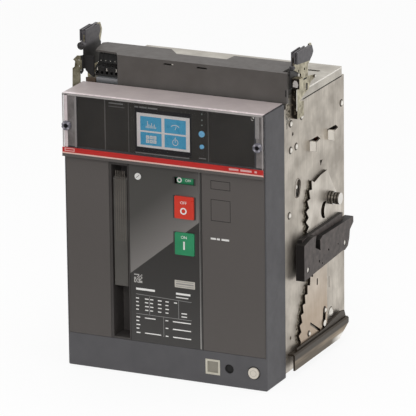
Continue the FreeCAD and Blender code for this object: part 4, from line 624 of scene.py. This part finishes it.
def leaning_ring(half):
    """The outline of the leaning slot, or of a rim round it, with half its width given."""
    straight = slot_length / 2 - slot_half
    upright = arc((0, straight), half, 0, 180, 12) + arc((0, -straight), half, 180, 360, 12)
    return [(slot_middle[0] + y * math.cos(slot_lean) + z * math.sin(slot_lean),
             slot_middle[1] - y * math.sin(slot_lean) + z * math.cos(slot_lean)) for y, z in upright]


tooth_shade_finish = Finish("tooth_grease", 0.35, metal=0.2)
tooth_shade_finish.colour(tooth_shade_finish.clouded(3.2, (80, 72, 60), (178, 169, 152), start=0.42, end=0.6))
tooth_shade_finish.relief(tooth_shade_finish.cloud(1.5), 0.1)
flat_piece("tooth_grease", tooth_shade_finish, "cradle", side_face + 0.02, 0.08,
           *[[ring_part(*sector)] for sector in sectors], [bracket_shadow], facing="aside")
brown_board = moulding("brown_board", (92, 76, 62), (72, 59, 48), 0.6)
slot_board = Finish("slot_board", 0.6)
board_light = slot_board.between(slot_board.along("Z"), start=(slot_middle[1] - 9) * mm,
                                 end=(slot_middle[1] + 9) * mm)
slot_board.colour(slot_board.blend(board_light, (30, 25, 19), (96, 84, 70)))
slot_board.relief(slot_board.cloud(1.5), 0.06)
flat_piece("slot_backing", slot_board, "cradle", side_face - 2.2, 0.2, [leaning_ring(slot_half - 0.1)],
           facing="aside")
flat_piece("slot_rim", brown_board, "cradle", side_face + 0.03, 0.1,
           [leaning_ring(slot_half + 0.9), leaning_ring(slot_half)], facing="aside")
guide_pin = bmesh.new()
turned(guide_pin, [(2.8, 0.0), (2.8, 0.9), (1.8, 1.7), (0.1, 1.9)],
       (side_face - 2.0, slot_middle[0] - 0.5, slot_middle[1] + 1.5), (1, 0, 0))
add_piece("slot_guide_pin", guide_pin, rivet_steel, "cradle")

# Shade rings: painted shade lies dark round the rivet heads on the right side plate,
# and round two heads on the toothed plate, where they meet the plate.
side_rivets = [(-42.8, 352.0), (-78.2, 350.7), (-61.0, 314.8), (-79.0, 314.2), (90.0, 336.3), (-84.5, 224.9)]
toothed_face = 150.5
head_radius = 4.2
ring_width = 1.1
toothed_rivets = [(22.9, 61.2, 3.6), (-31.2, 43.7, 3.4)]

squeezed_zinc = moulding("squeezed_zinc", (60, 53, 46), (46, 40, 35), 0.5, gloss=0.1)
shade_rings = bmesh.new()
heads = [(side_face, y, z, head_radius) for y, z in side_rivets]
heads += [(toothed_face, y, z, radius) for y, z, radius in toothed_rivets]
for face, y, z, radius in heads:
    outside = radius + ring_width
    turned(shade_rings, [(outside, 0.02), (outside, 0.1), (0.5, 0.1)], (face, y, z), (1, 0, 0))
add_piece("rivet_witness_rings", shade_rings, squeezed_zinc, "cradle")

# Terminal screws: small plated heads on the sloped fronts of the terminal blocks, and narrow
# white marker tags on every other block.
first_terminal = -132.6
terminal_spacing = 7.1
terminal_count = 5
slope_foot = (-80.0, 406.5)
slope_run = 1 / 3
screw_height = 409.4
screw_side = (0, -0.95, 0.32)
screw_profile = [(0.9, 0.0), (0.9, 0.3), (0.6, 0.5), (0.1, 0.5)]
tag_low = 398.2
tag_high = 401.8
tag_face = -90.15

screws = bmesh.new()
tags = bmesh.new()
for index in range(terminal_count):
    x = first_terminal + index * terminal_spacing
    y = slope_foot[0] + (screw_height - slope_foot[1]) * slope_run
    turned(screws, screw_profile, (x, y, screw_height), screw_side, steps=12)
    if index % 2 == 0:
        cut_sheet(tags, [oblong(x - 0.5, x + 0.5, tag_low, tag_high)], tag_face, 0.1)
add_piece("terminal_screws", screws, bright_steel, "cradle")
add_piece("terminal_tags", tags, pale_pin, "cradle")

# Right bracket dressing: a pearly patch on the folded shelf, partly its pale face and partly a painted
# highlight, a painted highlight down the corner of the flange, and the bright pin that is riveted into the
# tail.
shelf_face = -88.0
flange_face = -75.0
bracket_side = 155.0
tail_pin = (bracket_side, -20.0, 403.0)
paint_outline = [(154.4, 404.6), (161.0, 403.8), (162.4, 408.0), (160.4, 413.0), (156.6, 413.6),
                 (154.6, 410.0)]
flange_highlight_place = (153.7, 155.0, 368.0, 397.4)
bracket_seam = [(-75.0, 405.4), (-44.0, 405.4), (-44.0, 407.2), (-75.0, 408.8)]
plate_seam = (-38.0, 92.0, 373.4, 374.5)
front_seam = (147.6, 149.2, 392.5, 401.5)
front_seam_face = -97.15
lip_highlight_place = (-30.0, 92.0, 385.0, 387.0)

pearl = moulding("pearl_paint", (206, 200, 196), (168, 161, 156), 0.3, pit=0.02)
flat_piece("bracket_paint_mark", pearl, "cradle", shelf_face - 0.15, 0.1, [paint_outline])
flat_piece("bracket_sheared_edge", rubbed_steel, "cradle", flange_face - 0.15, 0.1,
           [oblong(*flange_highlight_place)])
tail_stud = bmesh.new()
turned(tail_stud, [(2.4, 0.0), (2.4, 1.4), (1.6, 2.4), (0.1, 2.6)], tail_pin, (1, 0, 0))
add_piece("bracket_tail_stud", tail_stud, rivet_steel, "cradle")
# Dark sheets paint the shadow in the seams: on the bracket, under the top plate's lip and in a slot on the
# box front.
seam_shade = bmesh.new()
cut_sheet(seam_shade, [bracket_seam], bracket_side + 0.05, 0.1, facing="aside")
cut_sheet(seam_shade, [oblong(*plate_seam)], side_face + 0.05, 0.1, facing="aside")
cut_sheet(seam_shade, [oblong(*front_seam)], front_seam_face, 0.1)
add_piece("dark_seams", seam_shade, black_rubber, "cradle")
# A pale strip is a painted highlight along the top plate's lip.
flat_piece("top_plate_bright_edge", rubbed_steel, "cradle", side_face + 0.05, 0.1, [oblong(*lip_highlight_place)],
           facing="aside")

# Left bracket dressing: a moulded plug with two bright contacts beside the wiring clip, the
# silver rim of the round plug, and the brown stop at the end of the terminal rail.
plug_outline = [(-159.0, 416.0), (-151.0, 418.6), (-151.2, 396.0), (-154.0, 391.6), (-157.0, 395.0),
                (-158.2, 404.0)]
plug_back = -95.6
end_stop_place = (-147.0, -132.5, 381.8, 388.6)
end_stop_front = -96.5
plug_contacts = [(-156.4, 403.0), (-154.2, 397.4), (-156.8, 411.4)]
round_plug = (-155.5, 430.0)
round_plug_face = -93.0

black_plastic = moulding("black_plastic", (40, 38, 38), (28, 27, 27), 0.45)
flat_piece("left_side_plug", black_plastic, "cradle", plug_back, 1.6, [plug_outline], slot="black_moulding")
contacts = bmesh.new()
for x, z in plug_contacts:
    turned(contacts, [(0.9, 0.0), (0.9, 0.4), (0.1, 0.7)], (x, plug_back, z), (0, -1, 0), steps=12)
add_piece("left_plug_contacts", contacts, bright_steel, "cradle")
flat_piece("round_plug_rim", bright_steel, "cradle", round_plug_face - 0.15, 0.1,
           [circle(round_plug, 4.2, 20), circle(round_plug, 3.2, 20)], slot="bright_steel")
flat_piece("rail_end_stop", brown_board, "cradle", end_stop_front, 1.5, [oblong(*end_stop_place)])

# Side panels: satin mouldings in a warmer, darker grey, set flush into the mask. The right
# one has two accessory blanks and a small pale caption, here only bars without letters.
accessory_blanks = [(82.0, 280.4, 28.4, 12.1), (82.0, 245.6, 28.6, 29.8)]
groove_width = 0.7
caption_bars = [(67.0, 74.5), (76.0, 80.5), (83.0, 94.0)]
caption_low = 204.6
caption_high = 207.2
ink_lift = 0.05
ink_depth = 0.1

panel_moulding = moulding("panel_moulding", (87, 82, 79), (82, 77, 74), 0.5, pit=0.02, pit_size=0.5)
# The panels are painted darker towards their foot as painted shade.
panel_height = panel_moulding.between(panel_moulding.along("Z"), start=0.05, end=0.28)
panel_moulding.colour(panel_moulding.blend(panel_height, (82, 77, 74), (98, 93, 90)))
panel_moulding.put_on("left_front_panel", "right_front_panel")
# The lever pocket is painted darker than the panels as painted shade in its recess.
moulding("pocket_moulding", (66, 62, 60), (60, 56, 54), 0.6, pit=0.02).put_on("lever_pocket")
# Dark sheets in the grooves round the accessory blanks are painted shade.
blank_rings = bmesh.new()
for x, z, width, height in accessory_blanks:
    rings = []
    for inset in (0, groove_width):
        half_width = width / 2 - inset
        half_height = height / 2 - inset
        rings.append(oblong(x - half_width, x + half_width, z - half_height, z + half_height))
    cut_sheet(blank_rings, rings, mask_face + 0.3, 0.1)
add_piece("accessory_blank_grooves", blank_rings, black_rubber, "breaker")
white_ink = moulding("white_ink", (248, 246, 243), (236, 234, 230), 0.5, pit=0.005)
grey_ink = moulding("grey_ink", (150, 149, 147), (138, 137, 135), 0.5, pit=0.005)
flat_piece("right_panel_caption", white_ink, "breaker", mask_face - ink_lift, ink_depth,
           *[[oblong(left, right, caption_low, caption_high)] for left, right in caption_bars])

# Centre panel: a moulding under a printed film. Above a slanting line the film is satin grey
# and grows lighter towards the line, and below it the film is near black. The openings for
# the plug, the state window and the two buttons are punched through it.
film_left = -52.3
film_right = 50.4
film_low = 48.6
film_high = 298.6
edge_width = 1.5
slant_left_height = 142.9
slant_right_height = 225.8
plug_centre = (-39.0, 279.6)
plug_hole_radius = 4.9
button_left = 12.2
button_right = 46.0
state_hole = (275.8, 285.2)
off_hole = (228.2, 259.8)
on_hole = (177.7, 209.3)
glow_reach = 78.0

film_shape = bmesh.new()
film_outlines = [oblong(film_left, film_right, film_low, film_high), circle(plug_centre, plug_hole_radius)]
for low, high in (state_hole, off_hole, on_hole):
    film_outlines.append(oblong(button_left, button_right, low, high))
cut_sheet(film_shape, film_outlines, mask_face - 0.1, 0.15)

film = Finish("panel_film", 0.4)
rise = (slant_right_height - slant_left_height) / (film_right - film_left)
slant = film.worked_out("MULTIPLY_ADD", film.along("X"), -rise, (film_left * rise - slant_left_height) * mm)
over_slant = film.worked_out("ADD", film.along("Z"), slant)
above = film.worked_out("GREATER_THAN", over_slant, 0)
fade = film.between(over_slant, start=0, end=glow_reach * mm)
satin_grey = film.blend(fade, (130, 126, 123), (82, 80, 77))
film.colour(film.blend(above, (58, 56, 54), satin_grey))
film.sheen_patches(film.between(film.cloud(1.2), 0.38, 0.44))
film.relief(film.cloud(0.6), 0.006)
add_piece("centre_panel_film", film_shape, film, "breaker")

moulding("centre_moulding", (70, 68, 66), (62, 60, 58), 0.45, pit=0.01).put_on("centre_panel")
edge_line = bmesh.new()
cut_sheet(edge_line, [oblong(film_right, film_right + edge_width, film_low, film_high)],
          mask_face - 0.25, 0.3)
bright_edge = plated_steel("bright_edge", (176, 173, 170), (150, 147, 144), grain=(1, 1, 0.03))
add_piece("centre_panel_edge_strip", edge_line, bright_edge, "breaker")

# Rating plate print, white on the black field: rules, short bars in the place of every word
# and figure, a code square of plain blocks and a pale label.
print_face = mask_face - 0.15
print_depth = 0.1
column_starts = [-44.7, -31.5, -23.8, -12.2, -1.0, 11.6]
column_widths = [4.4, 5.6, 4.8, 5.6, 5.0, 4.6]
upper_row_heights = [108.2, 103.0, 97.6, 92.4]
lower_row_heights = [81.6, 70.8, 59.6]
lower_row_words = [(-44.7, -39.0), (-1.2, 2.8), (9.6, 36.5)]
short_row_heights = [76.4, 65.6]
short_word = (-44.7, -40.5)
bar_height = 1.5
lone_bars = [(-32.0, -16.0, 81.4, 82.8), (-32.0, -8.0, 60.0, 61.4), (-44.4, -16.4, 120.6, 123.6),
             (14.9, 36.2, 121.0, 123.8), (14.9, 33.0, 116.6, 118.0), (22.6, 30.8, 90.0, 91.5),
             (22.6, 30.8, 94.5, 96.0)]
upper_rule = [(-44.6, 114.3), (37.8, 112.2), (37.8, 112.9), (-44.6, 115.0)]
level_rule = (-44.6, 37.5, 86.6, 87.3)
upright_rules = [(-25.0, -24.4, 87.3, 113.0), (18.2, 18.8, 87.3, 112.5), (-4.3, -3.7, 58.8, 86.6)]
label_place = (13.3, 43.1, 131.4, 141.6)
label_rows = [(133.0, 133.8), (135.8, 137.4), (139.4, 140.1)]
label_bar_left = 15.2
label_bar_right = 41.2
code_left = -47.0
code_low = 130.8
code_cell = 1.5
code_cells = 8

printed = []
for row, height in enumerate(upper_row_heights):
    for column, (left, width) in enumerate(zip(column_starts, column_widths)):
        if row == 0 or column != 5:
            printed.append((left, left + width * (1 - 0.12 * (row % 2)), height, height + bar_height))
for height in lower_row_heights:
    printed += [(left, right, height, height + bar_height) for left, right in lower_row_words]
for height in short_row_heights:
    printed.append((*short_word, height, height + bar_height))
printed += lone_bars
flat_piece("rating_print", white_ink, "breaker", print_face, print_depth,
           *[[oblong(*bar)] for bar in printed])
rules = [[upper_rule]] + [[oblong(*rule)] for rule in [level_rule] + upright_rules]
flat_piece("rating_rules", grey_ink, "breaker", print_face, print_depth, *rules)
code_squares = []
for row in range(code_cells):
    for column in range(code_cells):
        if (3 * row * row + 5 * column * column + row * column) % 11 < 6:
            left = code_left + column * code_cell
            low = code_low + row * code_cell
            code_squares.append([oblong(left, left + code_cell, low, low + code_cell)])
code_ink = moulding("code_ink", (190, 187, 183), (178, 175, 171), 0.5)
flat_piece("code_square", code_ink, "breaker", print_face, print_depth, *code_squares)
label = bmesh.new()
cut_sheet(label, [oblong(*label_place)], print_face, print_depth)
label_paper = moulding("label_paper", (206, 200, 190), (192, 186, 176), 0.7, pit=0.01)
add_piece("pale_label", label, label_paper, "breaker")
flat_piece("pale_label_bars", grey_ink, "breaker", print_face - 0.1, 0.05,
           *[[oblong(label_bar_left, label_bar_right, low, high)] for low, high in label_rows])

# Key plug: a white moulded cap with a straight slot, pushed into the panel. It closes the
# hole for a key lock.
plug_face = -162.8
plug_slot_outline = [(-41.4, 278.0), (-40.8, 277.4), (-36.6, 281.2), (-37.2, 281.8)]

moulding("plug_plastic", (250, 249, 246), (238, 236, 231), 0.4, pit=0.01).put_on("key_plug")
flat_piece("key_plug_slot", grey_ink, "breaker", plug_face - 0.1, 0.2, [plug_slot_outline])

# Charging lever: a hollow grey moulded handle that folds out of its pocket, with thin ribs
# along it for the hand.
lever_face = -161.0
rib_first = -72.6
rib_spacing = 3.1
rib_count = 5
rib_low = 186.0
rib_high = 284.0
rib_width = 0.9

moulding("lever_moulding", (90, 87, 83), (82, 79, 75), 0.45, pit=0.015).put_on("charging_lever")
rib_moulding = moulding("rib_moulding", (112, 106, 98), (104, 98, 91), 0.45)
lever_ribs = bmesh.new()
for rib in range(rib_count):
    left = rib_first + rib * rib_spacing
    cut_sheet(lever_ribs, [oblong(left, left + rib_width, rib_low, rib_high)], lever_face - 0.3, 0.5)
add_piece("lever_grip_ribs", lever_ribs, rib_moulding, "charging_lever")

# Push buttons: glossy coloured caps with printed signs. Red opens the breaker and shows a
# ring, green closes it and shows a bar.
button_face = -163.6
ring_centre = (28.2, 239.2)
bar_mark = (27.4, 29.6, 185.6, 197.0)
word_height = 5.6
off_word_centre = (28.4, 250.6)
on_word_centre = (28.4, 202.6)


def words(name, text, centre, height, face, ink, body):
    """Plain printed letters on an upright face that looks to the front."""
    letters = bpy.data.curves.new(name, "FONT")
    letters.body = text
    letters.size = height * mm
    letters.extrude = 0.04 * mm
    letters.align_x = "CENTER"
    letters.align_y = "CENTER"
    letters.materials.append(ink.material)
    thing = bpy.data.objects.new(name, letters)
    thing.rotation_euler = (math.pi / 2, 0, 0)
    thing.location = Vector((centre[0], face, centre[1])) * mm
    bpy.context.collection.objects.link(thing)
    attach(thing, body)


red_cap = moulding("red_cap", (226, 70, 54), (216, 62, 50), 0.32, pit=0.01)
red_cap.put_on("off_button")
moulding("green_cap", (60, 154, 108), (52, 142, 98), 0.32, pit=0.01).put_on("on_button", "state_flag")
flat_piece("off_button_ring", white_ink, "off_button", button_face - 0.08, 0.15,
           [circle(ring_centre, 4.8), circle(ring_centre, 2.9)])
words("off_button_word", "OFF", off_word_centre, word_height, button_face - 0.06, white_ink, "off_button")
flat_piece("on_button_bar", white_ink, "on_button", button_face - 0.08, 0.15, [oblong(*bar_mark)])
words("on_button_word", "ON", on_word_centre, word_height, button_face - 0.06, white_ink, "on_button")

# State flag: a green drum sector behind a window in the centre panel, printed with a ring.
# A red face with a bar follows below it and turns into the window when the breaker closes.
flag_face = -159.15
flag_axis = (-146.5, 280.5)
flag_skin_radius = 12.4
flag_half_width = 12.0
flag_middle = 29.1
flag_ring_centre = (20.6, 280.5)
flag_word_centre = (33.6, 280.5)

flat_piece("state_flag_ring", white_ink, "state_flag", flag_face - 0.05, 0.4,
           [circle(flag_ring_centre, 3.7, 20), circle(flag_ring_centre, 2.0, 20)])
words("state_flag_word", "OFF", flag_word_centre, 5.0, flag_face - 0.05, white_ink, "state_flag")
flat_piece("state_flag_closed_face", red_cap, "state_flag", flag_middle - flag_half_width,
           2 * flag_half_width, [ring_part(flag_axis, flag_skin_radius, flag_skin_radius - 0.8, 208, 272)],
           facing="aside")
flat_piece("state_flag_closed_bar", white_ink, "state_flag", flag_middle - 0.9, 1.8,
           [ring_part(flag_axis, flag_skin_radius + 0.1, flag_skin_radius - 0.1, 227, 253)], facing="aside")

# Release button and position drum: a cream moulded cap with a shallow dish, and a beige
# drum behind the position window.
dish_face = -164.45

moulding("cream_cap", (224, 217, 204), (208, 200, 187), 0.36, pit=0.01).put_on("release_button")
moulding("drum_moulding", (158, 152, 138), (144, 138, 124), 0.5).put_on("position_flag")
dish_shade = moulding("dish_shade", (190, 184, 172), (180, 174, 162), 0.4)
flat_piece("release_button_dish", dish_shade, "release_button", dish_face, 0.1,
           [circle(release_centre, 4.6), circle(release_centre, 3.9)])

# Protection unit and the blank bezels beside it: near-black satin mouldings with thin pale
# joints, three small lamps, two blue keys and captions shown as plain bars.
unit_face = -163.0
joint_places = [(-87.2, -85.8), (-52.0, -50.9), (64.3, 65.7)]
joint_low = 311.6
joint_high = 381.0
surround_place = (-41.4, 41.3, 314.6, 374.3)
lower_trim_place = (-41.4, 37.7, 312.3, 313.7)
unit_words = [(-42.0, -36.5, 374.9, 376.8), (-35.0, -24.0, 374.9, 376.8), (-22.5, -8.4, 374.9, 376.8),
              (51.8, 62.1, 314.6, 315.8)]
bezel_words = [(-80.5, -59.3, 375.9, 377.4), (-81.0, -57.5, 371.8, 372.3)]
lamp_heights = [376.0, 367.8, 360.8]
lamp_x = 56.6
lamp_profile = [(0.9, 0.0), (0.8, 0.3), (0.1, 0.4)]
bezel_screw_place = (129.6, 377.4)

bezel_moulding = moulding("bezel_moulding", (64, 60, 55), (58, 55, 50), 0.42, pit=0.01)
bezel_moulding.put_on("upper_bezel", "protection_unit")
moulding("blue_key", (146, 216, 255), (130, 206, 255), 0.35, pit=0.01).put_on("home_button", "test_button")
flat_piece("screen_surround", black_plastic, "breaker", unit_face - 0.1, 0.2, [oblong(*surround_place)],
           slot="dark_panel")
flat_piece("screen_lower_trim", grey_ink, "breaker", unit_face - 0.2, 0.3, [oblong(*lower_trim_place)])
joint_shade = moulding("joint_shade", (118, 113, 109), (106, 102, 98), 0.5)
flat_piece("bezel_joints", joint_shade, "breaker", mask_face - 0.2, 0.3,
           *[[oblong(left, right, joint_low, joint_high)] for left, right in joint_places], slot="dark_panel")
unit_print = bmesh.new()
for face, words_there in ((unit_face, unit_words), (mask_face, bezel_words)):
    for place in words_there:
        cut_sheet(unit_print, [oblong(*place)], face - ink_lift, ink_depth)
add_piece("bezel_print", unit_print, grey_ink, "breaker")
lamp_lens = moulding("lamp_lens", (196, 208, 200), (170, 184, 176), 0.2)
lamps = bmesh.new()
for height in lamp_heights:
    turned(lamps, lamp_profile, (lamp_x, unit_face + 0.05, height), (0, -1, 0), steps=12)
add_piece("unit_lamps", lamps, lamp_lens, "breaker")
bezel_screw = bmesh.new()
turned(bezel_screw, [(2.5, 0.0), (2.5, 0.4), (1.6, 0.8), (0.1, 0.8)],
       (bezel_screw_place[0], mask_face + 0.1, bezel_screw_place[1]), (0, -1, 0))
add_piece("bezel_screw", bezel_screw, bright_steel, "breaker")

# Touch screen: a pale plate set into the protection unit, with four blue touch fields that
# each carry a simple white sign.
screen_face = -163.4
field_columns = [(-33.5, -2.4), (2.0, 33.3)]
field_rows = [(344.7, 364.2), (324.8, 342.4)]
chart_heights = [3.0, 9.5, 5.5, 4.0, 7.5, 3.5, 6.0, 2.5]
dial_centre = (17.6, 350.0)
clock_centre = (17.6, 332.8)
chart_left = -25.4
chart_foot = 348.4
keys_foot = 328.0
dial_hand = [(17.2, 350.0), (18.0, 350.0), (19.6, 354.6), (19.0, 354.9)]
clock_marks = [(17.2, 18.0, 332.8, 335.6), (16.8, 18.4, 338.0, 339.6)]

screen_plate = moulding("screen_plate", (255, 249, 247), (250, 243, 241), 0.3, pit=0.003)
screen_plate.put_on("touch_screen")
field_blue = moulding("field_blue", (96, 190, 232), (84, 178, 222), 0.3, pit=0.003)
flat_piece("touch_fields", field_blue, "breaker", screen_face - 0.06, 0.1,
           *[[oblong(left, right, low, high)] for left, right in field_columns for low, high in field_rows],
           slot="screen_glass")
signs = bmesh.new()
sign_face = screen_face - 0.12
for bar, height in enumerate(chart_heights):
    left = chart_left + bar * 2.0
    cut_sheet(signs, [oblong(left, left + 1.0, chart_foot, chart_foot + height)], sign_face, 0.1)
dial_turns = [math.radians(40 + 10 * step) for step in range(11)]
dial_arc = []
for half_width, half_height, turns in ((8.0, 7.0, dial_turns), (7.0, 6.0, dial_turns[::-1])):
    for turn in turns:
        dial_arc.append((dial_centre[0] + half_width * math.cos(turn),
                         dial_centre[1] + half_height * math.sin(turn)))
cut_sheet(signs, [dial_arc], sign_face, 0.1)
cut_sheet(signs, [dial_hand], sign_face, 0.1)
for column in range(3):
    for row in range(2):
        corner = (chart_left + column * 5.4, keys_foot + row * 5.6)
        key = oblong(corner[0], corner[0] + 4.5, corner[1], corner[1] + 4.7)
        inside = oblong(corner[0] + 1.4, corner[0] + 2.9, corner[1] + 1.6, corner[1] + 2.7)
        cut_sheet(signs, [key, inside], sign_face, 0.1)
cut_sheet(signs, [circle(clock_centre, 4.4), circle(clock_centre, 3.5)], sign_face, 0.1)
for mark in clock_marks:
    cut_sheet(signs, [oblong(*mark)], sign_face, 0.1)
add_piece("touch_signs", signs, white_ink, "breaker")

# Clear cover: a hood of clear plastic over the protection unit, with a flat leaf that lies
# on top of the mask. A pale sheet on its top is a painted reflection, its ends are frosted, and pale
# lines along its rims and ribs are painted highlights.
rim_face = -168.05
cover_low = 297.6
cover_high = 384.8
cover_half = 146.8
leaf_front = -167.6
bend_back = -161.0
leaf_back = -104.4
trim_face = -169.2
trim_half = 147.6
cream_line_low = 301.7
end_bands_across = [(-144.8, -129.0), (134.6, 145.5)]
rim_low = 310.8
rim_high = cover_high - 1.4
left_rim = (-144.2, -139.4)
edge_rib_width = 1.4
inner_ribs = [(-130.0, -127.2, 311.0, 382.0), (135.0, 140.6, 352.0, 382.0)]

clear_plastic = Finish("clear_plastic", 0.05)
clear_plastic.shader.inputs["Alpha"].default_value = 0.1
clear_plastic.colour(clear_plastic.clouded(40, (70, 70, 74), (58, 58, 62)))
clear_plastic.put_on("clear_cover")
frosted_top = moulding("frosted_top", (178, 167, 165), (170, 159, 158), 0.4, pit=0.01)
frosted_end = moulding("frosted_end", (190, 183, 180), (128, 122, 120), 0.4, pit=0.01)
rim_light = moulding("rim_light", (240, 226, 226), (226, 213, 214), 0.25, pit=0.005)
rib_light = moulding("rib_light", (190, 184, 181), (176, 170, 168), 0.3, pit=0.005)
flat_piece("cover_top_haze", frosted_top, "breaker", cover_high + 0.2, 0.1,
           [oblong(-cover_half, cover_half, bend_back, leaf_back)], slot="clear_plastic", facing="up")
flat_piece("cover_end_bands", frosted_end, "breaker", mask_face - 0.3, 0.2,
           *[[oblong(left, right, 311.0, 381.5)] for left, right in end_bands_across], slot="clear_plastic")
rims = bmesh.new()
cut_sheet(rims, [oblong(-cover_half, cover_half, leaf_front, bend_back)], cover_high + 0.2, 0.1, facing="up")
cut_sheet(rims, [oblong(*left_rim, rim_low, rim_high)], rim_face, 0.2)
add_piece("cover_rims", rims, rim_light, "breaker")
ribs = bmesh.new()
cut_sheet(ribs, [oblong(-cover_half, cover_half, cover_high - 2.4, cover_high)], rim_face, 0.2)
cut_sheet(ribs, [oblong(-cover_half, -cover_half + edge_rib_width, rim_low, rim_high)], rim_face, 0.2)
cut_sheet(ribs, [oblong(cover_half - edge_rib_width, cover_half, rim_low, rim_high)], rim_face, 0.2)
for rib in inner_ribs:
    cut_sheet(ribs, [oblong(*rib)], rim_face + 2.2, 0.6)
add_piece("cover_ribs", ribs, rib_light, "breaker")
flat_piece("cover_lower_edge", panel_moulding, "breaker", trim_face - 0.1, 0.2,
           [oblong(-trim_half, trim_half, cover_low, cream_line_low)], slot="clear_plastic")

# Red trim: a glossy red moulded strip across the foot of the cover, bare but for a few plain
# pale bars, with a cream line along its foot that is a painted highlight of the cover's lower rim.
trim_bars = [(98.0, 112.0), (114.5, 131.0), (135.0, 138.5)]
trim_bar_low = 305.8
trim_bar_high = 308.6
cream_line_high = 303.7
trim_frame = [(-144.0, -129.0, 305.2, 309.6), (-142.6, -130.4, 306.4, 308.4)]

moulding("red_trim", (208, 54, 50), (198, 50, 47), 0.35, pit=0.01).put_on("red_strip")
cream_rim_highlight = moulding("cream_line", (244, 206, 194), (234, 196, 185), 0.4)
flat_piece("red_trim_lower_line", cream_rim_highlight, "breaker", trim_face - ink_lift, ink_depth,
           [oblong(-trim_half, trim_half, cream_line_low, cream_line_high)])
trim_print = bmesh.new()
for left, right in trim_bars:
    cut_sheet(trim_print, [oblong(left, right, trim_bar_low, trim_bar_high)], trim_face - ink_lift, ink_depth)
cut_sheet(trim_print, [oblong(*edge) for edge in trim_frame], trim_face - ink_lift, ink_depth)
trim_ink = moulding("trim_ink", (236, 186, 182), (226, 176, 172), 0.4, pit=0.005)
add_piece("red_trim_bars", trim_print, trim_ink, "breaker")

# Cover latches: clear quarter-turn knobs with four pale lobes round a dark socket, the lobes painted
# highlights of the moulded relief and the socket painted shade, laid out on the knobs so the pattern turns
# with them.
latch_place = (140.0, 341.0)
socket_radius = 3.0
lobe_radius = 1.5
lobe_offset = 3.4

latch_plastic = Finish("latch_plastic", 0.22)
clear_tone = latch_plastic.clouded(6, (112, 110, 118), (136, 134, 142))
folded = latch_plastic.vector_step("ABSOLUTE", latch_plastic.place)
offset = latch_plastic.vector_step("SUBTRACT", folded, (latch_place[0] * mm, 0, latch_place[1] * mm))
flat_offset = latch_plastic.vector_step("MULTIPLY", offset, (1, 0, 1))
from_middle = latch_plastic.vector_step("LENGTH", flat_offset)
quarter = latch_plastic.vector_step("ABSOLUTE", flat_offset)
lobe_place = latch_plastic.vector_step("SUBTRACT", quarter, (lobe_offset * mm, 0, lobe_offset * mm))
from_lobe = latch_plastic.vector_step("LENGTH", lobe_place)
past_socket = latch_plastic.between(from_middle, start=(socket_radius - 0.4) * mm,
                                    end=(socket_radius + 0.4) * mm)
past_lobe = latch_plastic.between(from_lobe, start=(lobe_radius - 0.3) * mm, end=(lobe_radius + 0.3) * mm)
with_socket = latch_plastic.blend(past_socket, (30, 29, 32), clear_tone)
latch_plastic.colour(latch_plastic.blend(past_lobe, (176, 173, 182), with_socket))
latch_plastic.relief(latch_plastic.cloud(1.2), 0.01)
latch_plastic.put_on("left_cover_latch", "right_cover_latch")
